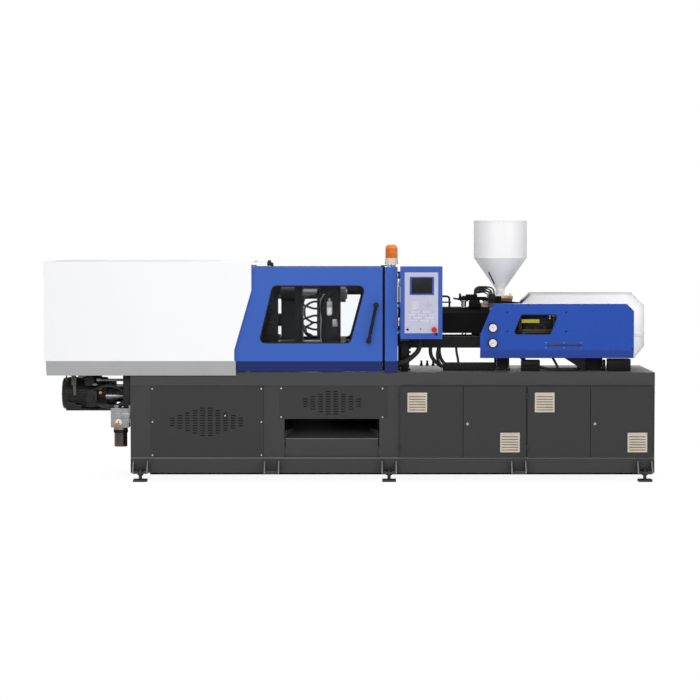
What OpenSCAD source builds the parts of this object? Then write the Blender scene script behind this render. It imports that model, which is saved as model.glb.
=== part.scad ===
// Horizontal toggle-clamp injection moulding machine, in millimetres.
// +X runs from the clamp to the injection unit, -Y is the operator's side, +Z is up.
// The origin is on the floor, in the middle of the anchor holes of the four corner foot pads.

/* [Base] */
// Length of the welded base
base_length = 4620; // [4400:10:4900]
// Width of the base across its side frames
base_width = 1150; // [1100:10:1300]
// Height of the levelling feet under the skid
foot_height = 70; // [60:5:120]
// Height of the skid beams
skid_height = 135; // [120:5:200]
// Width of each skid beam
skid_beam = 140; // [100:5:180]
// How far the skid beam stands proud of the posts
skid_proud = 8; // [2:1:10]
// Height of the side panels and doors' bay
panel_height = 635; // [560:5:760]
// Height of the deck beams
deck_height = 117; // [100:1:150]
// How far the deck beam stands proud of the side frame
deck_proud = 6; // [2:1:12]
// Thickness of the deck plate
deck_plate = 20; // [12:1:30]
// Depth of the posts behind the side face
post_depth = 60; // [40:5:90]
// Width of the post at the clamp end
end_post = 181; // [120:1:220]
// Middle of the post between the louvred panels
mid_post_x = -1044; // [-1100:2:-1020]
// Width of the post between the louvred panels
mid_post = 183; // [150:1:200]
// Middle of the post under the guard column
control_post_x = -16; // [-30:1:10]
// Width of the post under the guard column
control_post = 202; // [180:1:220]
// Width of the post between the door pairs
divider_post = 60; // [50:1:90]
// Height of the chute's mouth
chute_mouth = 342; // [280:1:380]
// Height of the chute's front lip
chute_lip = 168; // [120:1:220]
// Depth of the chute's front tray
chute_tray = 275; // [200:5:350]
// How much the chute's front cheeks close in on each side
chute_taper = 70; // [30:2:120]

/* [Feet and brackets] */
// Distance of the end brackets from the base's ends
bracket_inset = 90; // [80:5:140]
// Reach of the brackets beyond the side face
bracket_reach = 100; // [90:5:120]
// Width of a bracket across its ribs
bracket_width = 136; // [120:2:160]
// Height of a bracket's ribs
bracket_rib = 108; // [80:2:125]
// Thickness of a bracket's foot plate
bracket_plate = 15; // [10:1:20]
// Radius of a levelling stud
stud_r = 15; // [10:1:20]
// Thickness of a foot pad
pad_thick = 20; // [12:1:25]
// Radius of an anchor hole in a foot pad
anchor_r = 9; // [7:0.5:12]
// Distance of an anchor hole from its levelling stud
anchor_offset = 45; // [40:1:60]

/* [Doors] */
// Depth of a cabinet door
door_depth = 20; // [14:1:30]
// Gap between a door and the side face
door_gap = 2; // [1:0.5:4]
// Gap between two doors that meet
door_seam = 4; // [3:0.5:8]
// Sheet thickness of the doors and panels
sheet = 4; // [2:0.5:6]
// Side of a vent's square cut-out
vent_size = 150; // [120:5:170]
// Radius of a hinge knuckle
knuckle_r = 4.5; // [4:0.25:6]
// Radius of a hinge pin
hinge_pin_r = 2.2; // [1.5:0.1:2.5]
// Radius of a quarter-turn latch
latch_r = 14; // [10:1:20]

/* [Louvres] */
// Pitch of the louvre columns
louvre_pitch_x = 67; // [60:1:80]
// Pitch of the louvre rows
louvre_pitch_z = 22; // [18:1:24]
// Length of a louvre slot
louvre_length = 40; // [30:1:50]
// Height of a louvre slot
louvre_height = 8; // [4:0.5:10]

/* [Clamp unit] */
// Height of the machine axis above the deck
axis_height = 443; // [430:1:480]
// Side of the square platens
platen_size = 690; // [680:5:720]
// Spacing of the tie bars, both ways
tie_spacing = 470; // [460:5:480]
// Diameter of a tie bar
tie_d = 80; // [70:1:84]
// Mould face of the fixed platen
fixed_face_x = -640; // [-680:5:-620]
// Thickness of the fixed platen
fixed_thick = 180; // [150:5:200]
// Distance between the platens with the clamp shut
mould_gap = 160; // [150:5:200]
// Thickness of the moving platen
moving_thick = 190; // [170:5:210]
// Thickness of the rear platen
rear_thick = 170; // [150:5:190]
// Length of a rear toggle link between its pins
rear_link = 270; // [250:5:272]
// Length of a front toggle link between its pins
front_link = 330; // [320:5:350]
// Distance of the platen pins from the machine axis
pivot_offset = 310; // [305:1:312]
// Radius of the toggle pins
toggle_pin_r = 22; // [18:0.5:24]
// Thickness of each toggle plate
link_plate = 34; // [28:1:35]
// Radius of the clamp piston
clamp_piston_r = 80; // [60:1:90]
// Radius of the crosshead rod
crosshead_rod_r = 35; // [25:1:40]
// Radius of the locating-ring bore
locating_r = 62.5; // [50:0.5:75]
// Depth of the locating-ring bore
locating_depth = 30; // [20:1:40]
// Spacing of the mould-fixing holes, both ways
mould_bolt_spacing = 280; // [200:10:300]
// Radius of a mould-fixing hole
mould_bolt_r = 7; // [5:0.5:9]
// Stroke of the mould-height setting
height_range = 340; // [200:10:350]

/* [Covers and gate] */
// Height of the cover's top above the deck
cover_height = 977; // [940:1:1020]
// Distance of the cover's outer face from the side face
cover_out = 85; // [80:1:110]
// Height of the cover's plain face above the deck
cover_face = 106; // [95:1:130]
// Drop of the cover's hem below the deck
hem_drop = 26; // [10:1:40]
// Left end of the cover
cover_left_x = -3058; // [-3120:2:-2990]
// Right edge of the cover at its top
cover_top_x = -1239; // [-1280:1:-1200]
// Right edge of the cover at its foot
cover_foot_x = -1390; // [-1420:1:-1350]
// Distance of the gate's outer face from the side face
gate_out = 54; // [45:1:60]
// Left edge of the gate
gate_left_x = -1430; // [-1470:2:-1420]
// Right edge of the gate
gate_right_x = -90; // [-110:1:-80]
// Height of the gate's top above the deck
gate_height = 929.5; // [900:0.5:935]
// Depth of the gate's folded edges
gate_fold = 34; // [30:1:38]
// Corner radius of the windows
window_round = 46; // [20:1:60]
// Width of the guard column
column_width = 111.5; // [100:0.5:120]
// Right face of the guard column
column_right_x = 42.7; // [30:0.1:46]
// Depth of the guard column
column_depth = 120; // [90:1:140]

/* [Control panel] */
// Width of the panel housing
panel_width = 367; // [320:1:400]
// Height of the panel housing
panel_tall = 636; // [560:1:700]
// Depth of the panel housing
panel_deep = 115; // [90:1:130]
// Radius of the emergency stop button
estop_r = 24; // [18:1:30]
// Travel of the emergency stop button
estop_travel = 6; // [4:0.5:8]

/* [Injection unit] */
// Length of the carriage's forward stroke
carriage_stroke = 250; // [200:10:260]
// Height of the rail beams
rail_height = 102; // [80:1:120]
// Height of the rails' top above the deck
rail_top = 303; // [290:1:315]
// Middle of each rail from the machine axis
rail_y = 190; // [185:1:200]
// Width of each rail
rail_width = 80; // [60:1:90]
// Outer radius of the barrel
barrel_r = 55; // [45:1:60]
// Radius of the barrel's bore
barrel_bore_r = 25; // [20:0.5:30]
// Tip of the nozzle with the carriage back
nozzle_tip_x = -240; // [-260:1:-200]
// Left face of the throat block
throat_x = 870; // [850:1:890]
// Length of the throat block
throat_length = 220; // [200:1:230]
// Stroke of the screw
screw_stroke = 200; // [150:5:220]
// Radius of the hopper's cylinder
hopper_r = 239; // [200:1:250]
// Sheet thickness of the hopper
hopper_wall = 3; // [2:0.5:5]
// Outer radius of the hopper's neck
neck_r = 41; // [36:1:55]
// Height of the folded hem along the foot of the injection guard
guard_hem = 72; // [50:1:90]
// Start of the rear guard, to the right of the throat block's left face
rear_guard_in = 310; // [280:5:340]
// Length of the rear guard
rear_guard_long = 1150; // [1100:5:1160]
// Top of the rear guard above the machine axis
rear_guard_up = 243; // [220:1:260]
// Foot of the rear guard below the machine axis
rear_guard_down = 364; // [340:1:375]
// Distance of the injection guard's face from the machine axis
guard_y = 450; // [440:1:460]
// Radius of a pressure gauge
gauge_r = 44; // [30:1:50]

/* [Hidden] */

$fn = 48;
running = 0.05;                                   // radial clearance of a pin or rod in its bore
seat = 0.3;                                       // clearance of a slider on what carries it

base_x = base_length / 2;
side_y = base_width / 2;
panel_z = foot_height + skid_height;
deck_z0 = panel_z + panel_height;
deck_z = deck_z0 + deck_height;
axis_z = deck_z + axis_height;
pan = 10;                                         // thickness of the floor pan and end walls
chute_z = panel_z + chute_mouth;
stud_y = side_y + bracket_reach / 2;
mid_left = mid_post_x - mid_post / 2;
mid_right = mid_post_x + mid_post / 2;
control_left = control_post_x - control_post / 2;
control_right = control_post_x + control_post / 2;
bracket_pitch = (base_x - bracket_inset) / 2;
brackets = [-2 * bracket_pitch, mid_post_x - 21, control_post_x - 15, bracket_pitch, 2 * bracket_pitch];
feet = [brackets[0], brackets[2], brackets[4]];

door_top = deck_z0 - 4;
door_foot = panel_z + 4;
hinge_out = 2;                                    // distance of a hinge axis beyond its door's edge
doors_left = control_right - 18;
doors_right = base_x - 13;
hinge_pitch = 10;                                 // distance between the two hinge axes on the divider
doors_mid = (doors_left + doors_right) / 2;
door_w = (doors_mid - hinge_pitch / 2 - hinge_out - doors_left - door_seam) / 2;
door_face = side_y + door_gap + door_depth;
hinge_y = -(door_face + knuckle_r + 1.5);
hinge_rise = 86;                                  // distance of the hinges from the door's top and foot
hinge_z = [door_foot + hinge_rise, door_top - hinge_rise];

moving_face_x = fixed_face_x - mould_gap;
moving_back_x = moving_face_x - moving_thick;
front_pivot_x = moving_back_x - 60;
knee_x = front_pivot_x - front_link;
rear_pivot_x = knee_x - rear_link;
rear_face_x = rear_pivot_x - 80;
rear_back_x = rear_face_x - rear_thick;
tie_y = tie_spacing / 2;
eye_r = toggle_pin_r + 14;
layer_1 = 61;                                     // inner face of the crosshead links
layer_2 = layer_1 + 39;                           // inner face of the rear links
layer_3 = layer_2 + 39;                           // inner face of the front links
arm = [170, -90];                                 // crosshead joint of a rear link, from its platen pin
crosshead_x = rear_pivot_x + arm[0] + 71;
crosshead_pin_z = 60;
crosshead_pin_r = 18;

cover_y = side_y + cover_out;
cover_z = deck_z + cover_height;
cover_face_z = deck_z + cover_face;
hem_z = deck_z - hem_drop;
gate_y = side_y + gate_out;
gate_z = deck_z + gate_height;
gate_face_z = deck_z + cover_face - 4;
gate_foot_z = deck_z + 10;
window_pane = 5;
rail_z = gate_z - gate_fold - 12;                 // underside of the gate's top rail
rail_bar = 30;
rail_in = 17;                                     // inner edge of the gate's top rail from the side face
column_left_x = column_right_x - column_width;
column_top = deck_z + 930;
column_y = side_y + 50;

panel_left_x = column_right_x + 23;
panel_front = side_y + 140;
panel_back = panel_front - panel_deep;
panel_top_z = column_top + 6;
panel_foot_z = panel_top_z - panel_tall;
swivel_x = column_right_x + 12;
swivel_y = -(side_y + 65);
swivel_pin_r = 6;
estop_x = panel_left_x + 295;
estop_z = panel_foot_z + 81;

beacon_x = (column_left_x + column_right_x) / 2 + 3;
beacon_y = -(column_y - column_depth / 2);

rails_z = deck_z + rail_top;
rail_left_x = column_right_x + 12;
rail_right_x = min(base_x - 60, throat_x + 1265);
plate_z = rails_z + 35;                           // top of the carriage plate
throat_right_x = throat_x + throat_length;
plate_left_x = throat_x - 80;
front_wall = 60;
cylinder_x = throat_right_x + front_wall;
cylinder_length = screw_stroke + 150;
thrust_x = cylinder_x + cylinder_length + 60;
thrust_thick = 80;
motor_length = 240;
ram_y = 140;
ram_rod_r = 25;
push_y = 90;                                      // middle of each carriage cylinder
push_z = rails_z - 55;
push_rod_r = 15;
push_bore_r = 30;
push_right_x = throat_x - 40;
push_left_x = push_right_x - carriage_stroke - 160;
hopper_x = throat_x + throat_length / 2;
throat_top = axis_z + 218;
hopper_z = throat_top + 10;
cone_z = hopper_z + 50;
cylinder_z = cone_z + 282;
hopper_top = cylinder_z + 330;
guard_left_x = throat_x - 93;
guard_right_x = throat_x + 1268;
guard_top = axis_z + 157;
guard_foot = axis_z - 324;

// Round points of the two hoses, chosen by hand.
conduit_r = 23;
conduit_route = [
  [43, -545, 1332], [80, -545, 1332], [125, -545, 1335], [170, -545, 1328], [208, -545, 1305],
  [232, -545, 1268], [241, -545, 1225], [237, -545, 1180], [220, -545, 1140], [190, -545, 1108],
  [155, -545, 1078], [120, -545, 1055], [88, -545, 1043], [64, -545, 1040], [43, -545, 1040]
];
hose_r = 15;
hose_route = [
  [425, -190, 1158], [425, -190, 1125], [430, -191, 1090], [441, -193, 1057], [459, -197, 1029],
  [483, -202, 1008], [512, -208, 996], [544, -214, 991], [575, -219, 991], [600, -222, 986],
  [614, -225, 977], [618, -225, 966], [618, -225, 957.3]
];

// A box between two corners, given as its X, Y and Z ranges.
module block(x, y, z) {
  translate([x[0], y[0], z[0]])
    cube([x[1] - x[0], y[1] - y[0], z[1] - z[0]]);
}

// Round bars along each axis.
module bar_x(x0, x1, y, z, r) {
  translate([x0, y, z])
    rotate([0, 90, 0])
      cylinder(h = x1 - x0, r = r);
}

module bar_y(y0, y1, x, z, r) {
  translate([x, y1, z])
    rotate([90, 0, 0])
      cylinder(h = y1 - y0, r = r);
}

module bar_z(z0, z1, x, y, r) {
  translate([x, y, z0])
    cylinder(h = z1 - z0, r = r);
}

// Plates cut from a flat outline: one drawn in X and Z, one drawn in Y and Z.
module slab_xz(y0, y1) {
  translate([0, y1, 0])
    rotate([90, 0, 0])
      linear_extrude(y1 - y0)
        children();
}

module slab_yz(x0, x1) {
  translate([x0, 0, 0])
    rotate([90, 0, 90])
      linear_extrude(x1 - x0)
        children();
}

// A turned piece about the machine axis, from [x, radius] points.
module turned_x(points) {
  translate([0, 0, axis_z])
    rotate([0, 90, 0])
      rotate_extrude()
        polygon([for (p = points) [p[1], p[0]]]);
}

module both_sides() {
  children();
  mirror([0, 1, 0])
    children();
}

// A convex outline with its corners rounded to radius r.
function unit(v) = v / norm(v);
function fillet(p0, p1, p2, r) =
  let (
    u = unit(p0 - p1),
    v = unit(p2 - p1),
    half = acos(u * v) / 2,
    centre = p1 + unit(u + v) * r / sin(half),
    t0 = p1 + u * r / tan(half) - centre,
    t1 = p1 + v * r / tan(half) - centre,
    a0 = atan2(t0[1], t0[0]),
    turn = ((atan2(t1[1], t1[0]) - a0 + 540) % 360) - 180
  )
  [for (i = [0 : 6]) centre + r * [cos(a0 + turn * i / 6), sin(a0 + turn * i / 6)]];
function rounded(p, r) =
  [for (i = [0 : len(p) - 1]) each fillet(p[(i + len(p) - 1) % len(p)], p[i], p[(i + 1) % len(p)], r)];

// A round hose swept along a route, as rings joined by quads.
function ring(p, dir, r) =
  let (
    side = unit(cross(dir, abs(dir[1]) < 0.9 ? [0, 1, 0] : [1, 0, 0])),
    up = cross(side, dir)
  )
  [for (k = [0 : 11]) p + r * (cos(k * 30) * side + sin(k * 30) * up)];
function heading(route, i) = unit(route[min(i + 1, len(route) - 1)] - route[max(i - 1, 0)]);
module hose(route, r) {
  n = len(route);
  points = [for (i = [0 : n - 1]) each ring(route[i], heading(route, i), r)];
  walls = [
    for (i = [0 : n - 2]) for (k = [0 : 11])
      [i * 12 + k, i * 12 + (k + 1) % 12, (i + 1) * 12 + (k + 1) % 12, (i + 1) * 12 + k]
  ];
  first = [for (k = [11 : -1 : 0]) k];
  last = [for (k = [0 : 11]) (n - 1) * 12 + k];
  polyhedron(points, concat(walls, [first, last]));
}

// Welded base: skid beams, floor pan, end walls, posts, brackets and the fixed halves of the hinges.
module bracket(x) {
  rib = 12;
  half = bracket_width / 2;
  difference() {
    block(
      [x - half, x + half], [-side_y - bracket_reach, -side_y], [foot_height, foot_height + bracket_plate]
    );
    bar_z(foot_height - 1, foot_height + bracket_plate + 1, x, -stud_y, stud_r + 0.5);
  }
  for (x0 = [x - half, x + half - rib])
    slab_yz(x0, x0 + rib)
      polygon([
        [-side_y, foot_height], [-side_y - bracket_reach, foot_height],
        [-side_y - bracket_reach, foot_height + 45], [-side_y - 35, foot_height + bracket_rib],
        [-side_y, foot_height + bracket_rib]
      ]);
}

module fixed_hinge(x, leaf) {
  for (z = hinge_z) {
    bar_z(z - 24, z + 24, x, hinge_y, hinge_pin_r);
    for (z0 = [z - 24, z + 10]) {
      bar_z(z0, z0 + 14, x, hinge_y, knuckle_r);
      block([x + leaf[0], x + leaf[1]], [hinge_y, -side_y], [z0, z0 + 14]);
    }
  }
}

module posts() {
  ranges = [
    [-base_x, -base_x + end_post], [mid_left, mid_right], [control_left, control_right],
    [doors_mid - divider_post / 2, doors_mid + divider_post / 2], [base_x - 40, base_x]
  ];
  for (x = ranges)
    block(x, [-side_y, -side_y + post_depth], [panel_z, deck_z0]);
}

module base_frame() {
  color("#454545")
    union() {
      both_sides() {
        block([-base_x, base_x], [-side_y - skid_proud, -side_y + skid_beam], [foot_height, panel_z]);
        posts();
        for (x = brackets)
          bracket(x);
        block([mid_right, control_left], [-side_y, -side_y + post_depth], [chute_z, chute_z + 12]);
      }
      block([-base_x, base_x], [-side_y, side_y], [panel_z - pan, panel_z]);
      block([-base_x, -base_x + pan], [-side_y, side_y], [foot_height, deck_z0]);
      block([base_x - pan, base_x], [-side_y, side_y], [foot_height, deck_z0]);
      fixed_hinge(doors_left - hinge_out, [-1.5, 1.5]);
      fixed_hinge(doors_mid - hinge_pitch / 2, [-1.5, 1.5]);
      fixed_hinge(doors_mid + hinge_pitch / 2, [-1.5, 1.5]);
      fixed_hinge(doors_right + hinge_out, [-1.5, 1.5]);
    }
}

// Deck frame: two side beams, the deck plate with its drop opening, and the ways of the moving platen.
drop_x = [rear_face_x + 790, fixed_face_x + 150];
drop_y = 195;
way_top = deck_z + 28;
module deck_frame() {
  color("#4e4e4e")
    difference() {
      union() {
        both_sides() {
          block([-base_x, base_x], [-side_y - deck_proud, -side_y + 100], [deck_z0, deck_z]);
          block([rear_back_x - height_range - 60, fixed_face_x], [200, 280], [deck_z, way_top]);
        }
        block([-base_x, base_x], [-side_y, side_y], [deck_z - deck_plate, deck_z]);
        for (x = [-base_x, mid_left, control_left, doors_mid, base_x - 60])
          block([x, x + 60], [-side_y + 50, side_y - 50], [deck_z0, deck_z]);
      }
      block(drop_x, [-drop_y, drop_y], [deck_z0 - 1, way_top + 1]);
    }
}

// Levelling feet: a pad, a stud that ends against its bracket, and a nut; the corner pads have anchor holes.
module levelling_feet() {
  plate_top = foot_height + bracket_plate;
  color("#303030")
    both_sides()
      for (x = feet)
        difference() {
          union() {
            block([x - 60, x + 60], [-stud_y - anchor_offset - 25, -stud_y + 45], [0, pad_thick]);
            bar_z(0, plate_top + 30, x, -stud_y, stud_r);
            bar_z(foot_height - 16, foot_height, x, -stud_y, stud_r + 12, $fn = 6);
            bar_z(plate_top, plate_top + 16, x, -stud_y, stud_r + 12, $fn = 6);
          }
          bar_z(-1, pad_thick + 1, x, -stud_y - anchor_offset, anchor_r);
        }
}

// Side panels with diamond fields of louvre slots: one upper and one full-height panel on each side.
module louvred_panel(x, z, columns, middle) {
  slab_xz(-side_y - sheet, -side_y)
    difference() {
      translate([x[0], z[0]])
        square([x[1] - x[0], z[1] - z[0]]);
      for (i = [0 : columns - 1]) {
        rows = 2 * min(i, columns - 1 - i) + 4;
        for (k = [0 : rows - 1])
          translate([
            middle[0] + (i - (columns - 1) / 2) * louvre_pitch_x - louvre_length / 2,
            middle[1] + (k - (rows - 1) / 2) * louvre_pitch_z - louvre_height / 2
          ])
            square([louvre_length, louvre_height]);
      }
    }
}

module base_panels() {
  left = [-base_x + end_post, mid_left - 2];
  right = [mid_right - 40, control_left + 71];
  color("#454545") {
    both_sides() {
      louvred_panel(left, [panel_z + 3, deck_z0 - 3], 10, [(left[0] + left[1]) / 2 - 7, deck_z0 - 319]);
      louvred_panel(right, [chute_z + 10, deck_z0 - 2], 8, [(right[0] + right[1]) / 2 - 15, deck_z0 - 151]);
    }
    for (x = [[control_right + 5, doors_mid - 15], [doors_mid + 15, base_x - 12]])
      block(x, [side_y, side_y + sheet], [panel_z + 9, deck_z0 - 5]);
  }
}

// Chute for the moulded parts: a lip, a tray that climbs to the back, and cheeks that funnel to the mouth.
module drop_chute() {
  left = mid_right + 8;
  right = control_left - 8;
  front = -side_y + 15;
  middle = front + chute_tray;
  back = side_y - 275;
  lip_z = panel_z + chute_lip;
  tray_z = lip_z + 43;
  back_z = lip_z + 170;
  color("#3c3c3c")
    union() {
      slab_yz(left, right)
        polygon([
          [front, panel_z], [front + 5, panel_z], [front + 5, lip_z - 5], [middle, tray_z - 5], [back, back_z - 5],
          [back + 5, deck_z0], [back, deck_z0], [back, back_z], [middle, tray_z], [front, lip_z]
        ]);
      for (x = [left, right - sheet])
        slab_yz(x, x + sheet)
          polygon([[middle, tray_z - 4], [back + 2, back_z - 4], [back + 2, deck_z0], [middle, deck_z0]]);
      intersection() {
        slab_yz(left, right)
          polygon([[front, lip_z - 4], [middle, tray_z - 4], [middle, lip_z + 70], [front, lip_z + 70]]);
        linear_extrude(deck_z0)
          union() {
            polygon([
              [left, front], [left + sheet, front],
              [left + chute_taper + sheet, middle], [left + chute_taper, middle]
            ]);
            polygon([
              [right, front], [right - sheet, front],
              [right - chute_taper - sheet, middle], [right - chute_taper, middle]
            ]);
          }
      }
    }
}

// Oil tank under the clamp, with its filler cap and return flange.
module oil_tank() {
  color("#5a6068")
    union() {
      block([-base_x + end_post + 70, mid_left - 44], [-side_y + 75, side_y - 75], [panel_z, deck_z0 - 50]);
      bar_z(deck_z0 - 51, deck_z0 - 15, mid_left - 200, side_y - 200, 45);
    }
}

// Drive motor and oil pump on the clamp end of the base.
pump_y = -side_y + 375;
pump_z = deck_z - 207;
module pump_motor() {
  color("#1d1e20")
    union() {
      block([-base_x - 20, -base_x], [pump_y - 130, pump_y + 130], [pump_z - 150, pump_z + 85]);
      bar_x(-base_x - 160, -base_x - 20, pump_y, pump_z, 80);
      bar_x(-base_x - 230, -base_x - 160, pump_y, pump_z, 110);
      bar_x(-base_x - 590, -base_x - 230, pump_y, pump_z, 135);
      bar_x(-base_x - 630, -base_x - 590, pump_y, pump_z, 120);
      block([-base_x - 470, -base_x - 290], [pump_y - 70, pump_y + 70], [pump_z + 120, pump_z + 168]);
      block([-base_x - 600, -base_x - 20], [pump_y - 90, pump_y + 90], [pump_z - 150, pump_z - 132]);
      for (x = [-base_x - 600, -base_x - 290])
        block([x, x + 60], [pump_y - 80, pump_y + 80], [pump_z - 140, pump_z - 100]);
    }
}

// Lubrication pump on a bracket, and the oil reservoir that screws up under it.
lube_x = -base_x - 97;
lube_y = -side_y + 125;
lube_z = deck_z - 512;
module lube_pump() {
  color("#85888c")
    union() {
      block([-base_x - 20, -base_x], [lube_y - 60, lube_y + 60], [lube_z + 60, lube_z + 217]);
      block([lube_x - 80, -base_x - 19], [lube_y - 75, lube_y + 75], [lube_z + 20, lube_z + 190]);
      bar_z(lube_z, lube_z + 21, lube_x, lube_y, 62);
      bar_y(lube_y - 92, lube_y - 74, lube_x - 10, lube_z + 70, 30);
      bar_z(lube_z + 189, lube_z + 217, lube_x - 35, lube_y, 32);
    }
}

module lube_reservoir() {
  color("#3b3a33")
    bar_z(lube_z - 150, lube_z, lube_x, lube_y, 58);
}

// Sheet-metal clamp covers, the front and back ones alike: a plain face, a hem bent inwards and a top fold.
module hem(x, out, z_top, z_foot, inward) {
  slab_yz(x[0], x[1])
    polygon([[-out, z_top], [-out + sheet, z_top], [-out + sheet + inward, z_foot], [-out + inward, z_foot]]);
}

hem_in = 60;
module side_cover() {
  slab_xz(-cover_y, -cover_y + sheet)
    polygon([
      [cover_left_x, cover_face_z], [cover_left_x, cover_z], [cover_top_x, cover_z],
      [cover_top_x, cover_z - 253], [cover_foot_x, cover_face_z + 96], [cover_foot_x, cover_face_z]
    ]);
  hem([cover_left_x + 14, cover_foot_x + 12], cover_y, cover_face_z, hem_z, hem_in);
  block([cover_left_x, cover_top_x], [-cover_y, -cover_y + 36], [cover_z - sheet, cover_z]);
  block([cover_left_x, cover_left_x + sheet], [-cover_y, -cover_y + 36], [cover_face_z, cover_z]);
  for (x = [-base_x + 40, mid_left - 330])
    block([x, x + 60], [-cover_y + hem_in, -side_y - deck_proud], [hem_z + 2, hem_z + 16]);
}

module front_cover() {
  color("#f7f8f9")
    side_cover();
}

module rear_cover() {
  color("#f7f8f9")
    mirror([0, 1, 0])
      side_cover();
}

// Roof of the clamp with its end wall, a sheet bent once, on four legs that stand on the deck.
module roof_cover() {
  top = cover_z - sheet;
  inner = cover_y - sheet;
  color("#f2f3f4")
    union() {
      block([cover_left_x + sheet, cover_top_x], [-inner, inner], [top - sheet, top]);
      block([cover_left_x + sheet, cover_left_x + 2 * sheet], [-inner, inner], [cover_face_z, top]);
      both_sides()
        for (x = [-base_x + 20, cover_top_x - 60])
          block([x, x + 40], [-side_y + 10, -side_y + 50], [deck_z, top - sheet]);
    }
}

// Platens. All three carry the tie bars' bores; the fixed one has the locating bore and the carriage rods.
module tie_bores(x0, x1, clearance) {
  for (y = [-tie_y, tie_y])
    for (z = [-tie_y, tie_y])
      bar_x(x0, x1, y, axis_z + z, tie_d / 2 + clearance);
}

module mould_bolt_holes(x0, x1) {
  for (y = [-1, 1])
    for (z = [-1, 1])
      bar_x(x0, x1, y * mould_bolt_spacing / 2, axis_z + z * mould_bolt_spacing / 2, mould_bolt_r);
}

module platen_block(x0, x1) {
  half = platen_size / 2;
  slab_yz(x0, x1)
    translate([0, axis_z])
      polygon(rounded([[-half, -half], [half, -half], [half, half], [-half, half]], 40));
}

fixed_back_x = fixed_face_x + fixed_thick;
module fixed_platen() {
  color("#8d9196")
    union() {
      difference() {
        union() {
          platen_block(fixed_face_x, fixed_back_x);
          both_sides()
            block(
              [fixed_face_x, fixed_back_x], [-platen_size / 2 + 10, -tie_y + 60],
              [deck_z, axis_z - platen_size / 2 + 60]
            );
        }
        tie_bores(fixed_face_x - 1, fixed_back_x + 1, running);
        mould_bolt_holes(fixed_face_x - 1, fixed_face_x + 35);
        turned_x([
          [fixed_face_x - 1, 0], [fixed_face_x - 1, locating_r], [fixed_face_x + locating_depth, locating_r],
          [fixed_face_x + locating_depth, locating_r - 12],
          [fixed_back_x + 1, locating_r + 45], [fixed_back_x + 1, 0]
        ]);
      }
      for (y = [-push_y, push_y]) {
        bar_x(fixed_back_x - 1, push_left_x + 140, y, push_z, push_rod_r);
        bar_x(push_left_x + 120, push_left_x + 140, y, push_z, push_bore_r - running);
      }
    }
}

module tie_bars() {
  color("#c9ccd0")
    for (y = [-tie_y, tie_y])
      for (z = [-tie_y, tie_y]) {
        bar_x(rear_back_x - height_range - 80, fixed_back_x + 60, y, axis_z + z, tie_d / 2);
        bar_x(fixed_back_x, fixed_back_x + 46, y, axis_z + z, tie_d / 2 + 28, $fn = 8);
      }
}

// A clevis of two plates on each side, with its pin, for one toggle pivot.
module pin_lug(x_wall, x_pin, z, y0, y1) {
  slab_xz(y0, y1) {
    translate([x_pin, z])
      circle(r = eye_r);
    translate([min(x_wall, x_pin), z - eye_r])
      square([abs(x_wall - x_pin), 2 * eye_r]);
  }
}

module clevis(x_wall, x_pin, side, inner, outer) {
  z = axis_z + side * pivot_offset;
  both_sides() {
    pin_lug(x_wall, x_pin, z, inner[0], inner[1]);
    pin_lug(x_wall, x_pin, z, outer[0], outer[1]);
    bar_y(inner[0], outer[1], x_pin, z, toggle_pin_r);
  }
}

module moving_platen() {
  core = 205;
  color("#868a90")
    difference() {
      union() {
        platen_block(moving_face_x - 62, moving_face_x);
        block(
          [moving_back_x, moving_face_x - 10], [-core, core],
          [axis_z - platen_size / 2, axis_z + platen_size / 2]
        );
        tie_bores(moving_back_x, moving_face_x - 10, 28);
        for (side = [-1, 1])
          clevis(
            moving_back_x + 1, front_pivot_x, side,
            [layer_2, layer_2 + link_plate], [layer_3 + link_plate + 4, core]
          );
        bar_x(moving_back_x - 120, moving_back_x + 1, 0, axis_z, 58);
        both_sides()
          block(
            [moving_back_x, moving_face_x - 10], [200, 280], [way_top + seat, axis_z - platen_size / 2 + 30]
          );
      }
      tie_bores(moving_back_x - 1, moving_face_x + 1, running);
      mould_bolt_holes(moving_face_x - 35, moving_face_x + 1);
      bar_x(moving_back_x, moving_face_x + 1, 0, axis_z, 45);
      bar_x(moving_back_x - 121, moving_back_x + 1, 0, axis_z, 20 + running);
    }
}

module ejector_rod() {
  color("#c9ccd0")
    union() {
      bar_x(moving_back_x - 118, moving_face_x - 30, 0, axis_z, 20);
      bar_x(moving_face_x - 70, moving_face_x - 30, 0, axis_z, 32);
    }
}

// Rear platen with its clevises and its bores, and with the pockets that the links fold into at full opening.
pocket_deep = eye_r - arm[1] - (rear_pivot_x - rear_face_x);
pocket_z = [pivot_offset - arm[0] - 58, pivot_offset - arm[0] + 78];
module link_pockets() {
  for (side = [0, 1])
    both_sides()
      translate([0, 0, axis_z])
        mirror([0, 0, side])
          block(
            [rear_face_x - pocket_deep, rear_face_x + 1], [layer_1 - 4, layer_2 + link_plate + 4], pocket_z
          );
}

module rear_platen() {
  color("#868a90")
    difference() {
      union() {
        platen_block(rear_back_x, rear_face_x);
        tie_bores(rear_back_x - 60, rear_back_x, 30);
        for (side = [-1, 1])
          clevis(
            rear_face_x - 1, rear_pivot_x, side,
            [layer_1, layer_1 + link_plate], [layer_3, layer_3 + link_plate]
          );
        both_sides()
          block([rear_back_x, rear_face_x], [200, 280], [way_top + seat, axis_z - platen_size / 2 + 30]);
      }
      link_pockets();
      tie_bores(rear_back_x - 61, rear_face_x + 1, running);
      bar_x(rear_back_x - 1, rear_face_x + 1, 0, axis_z, crosshead_rod_r + running);
    }
}

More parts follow.
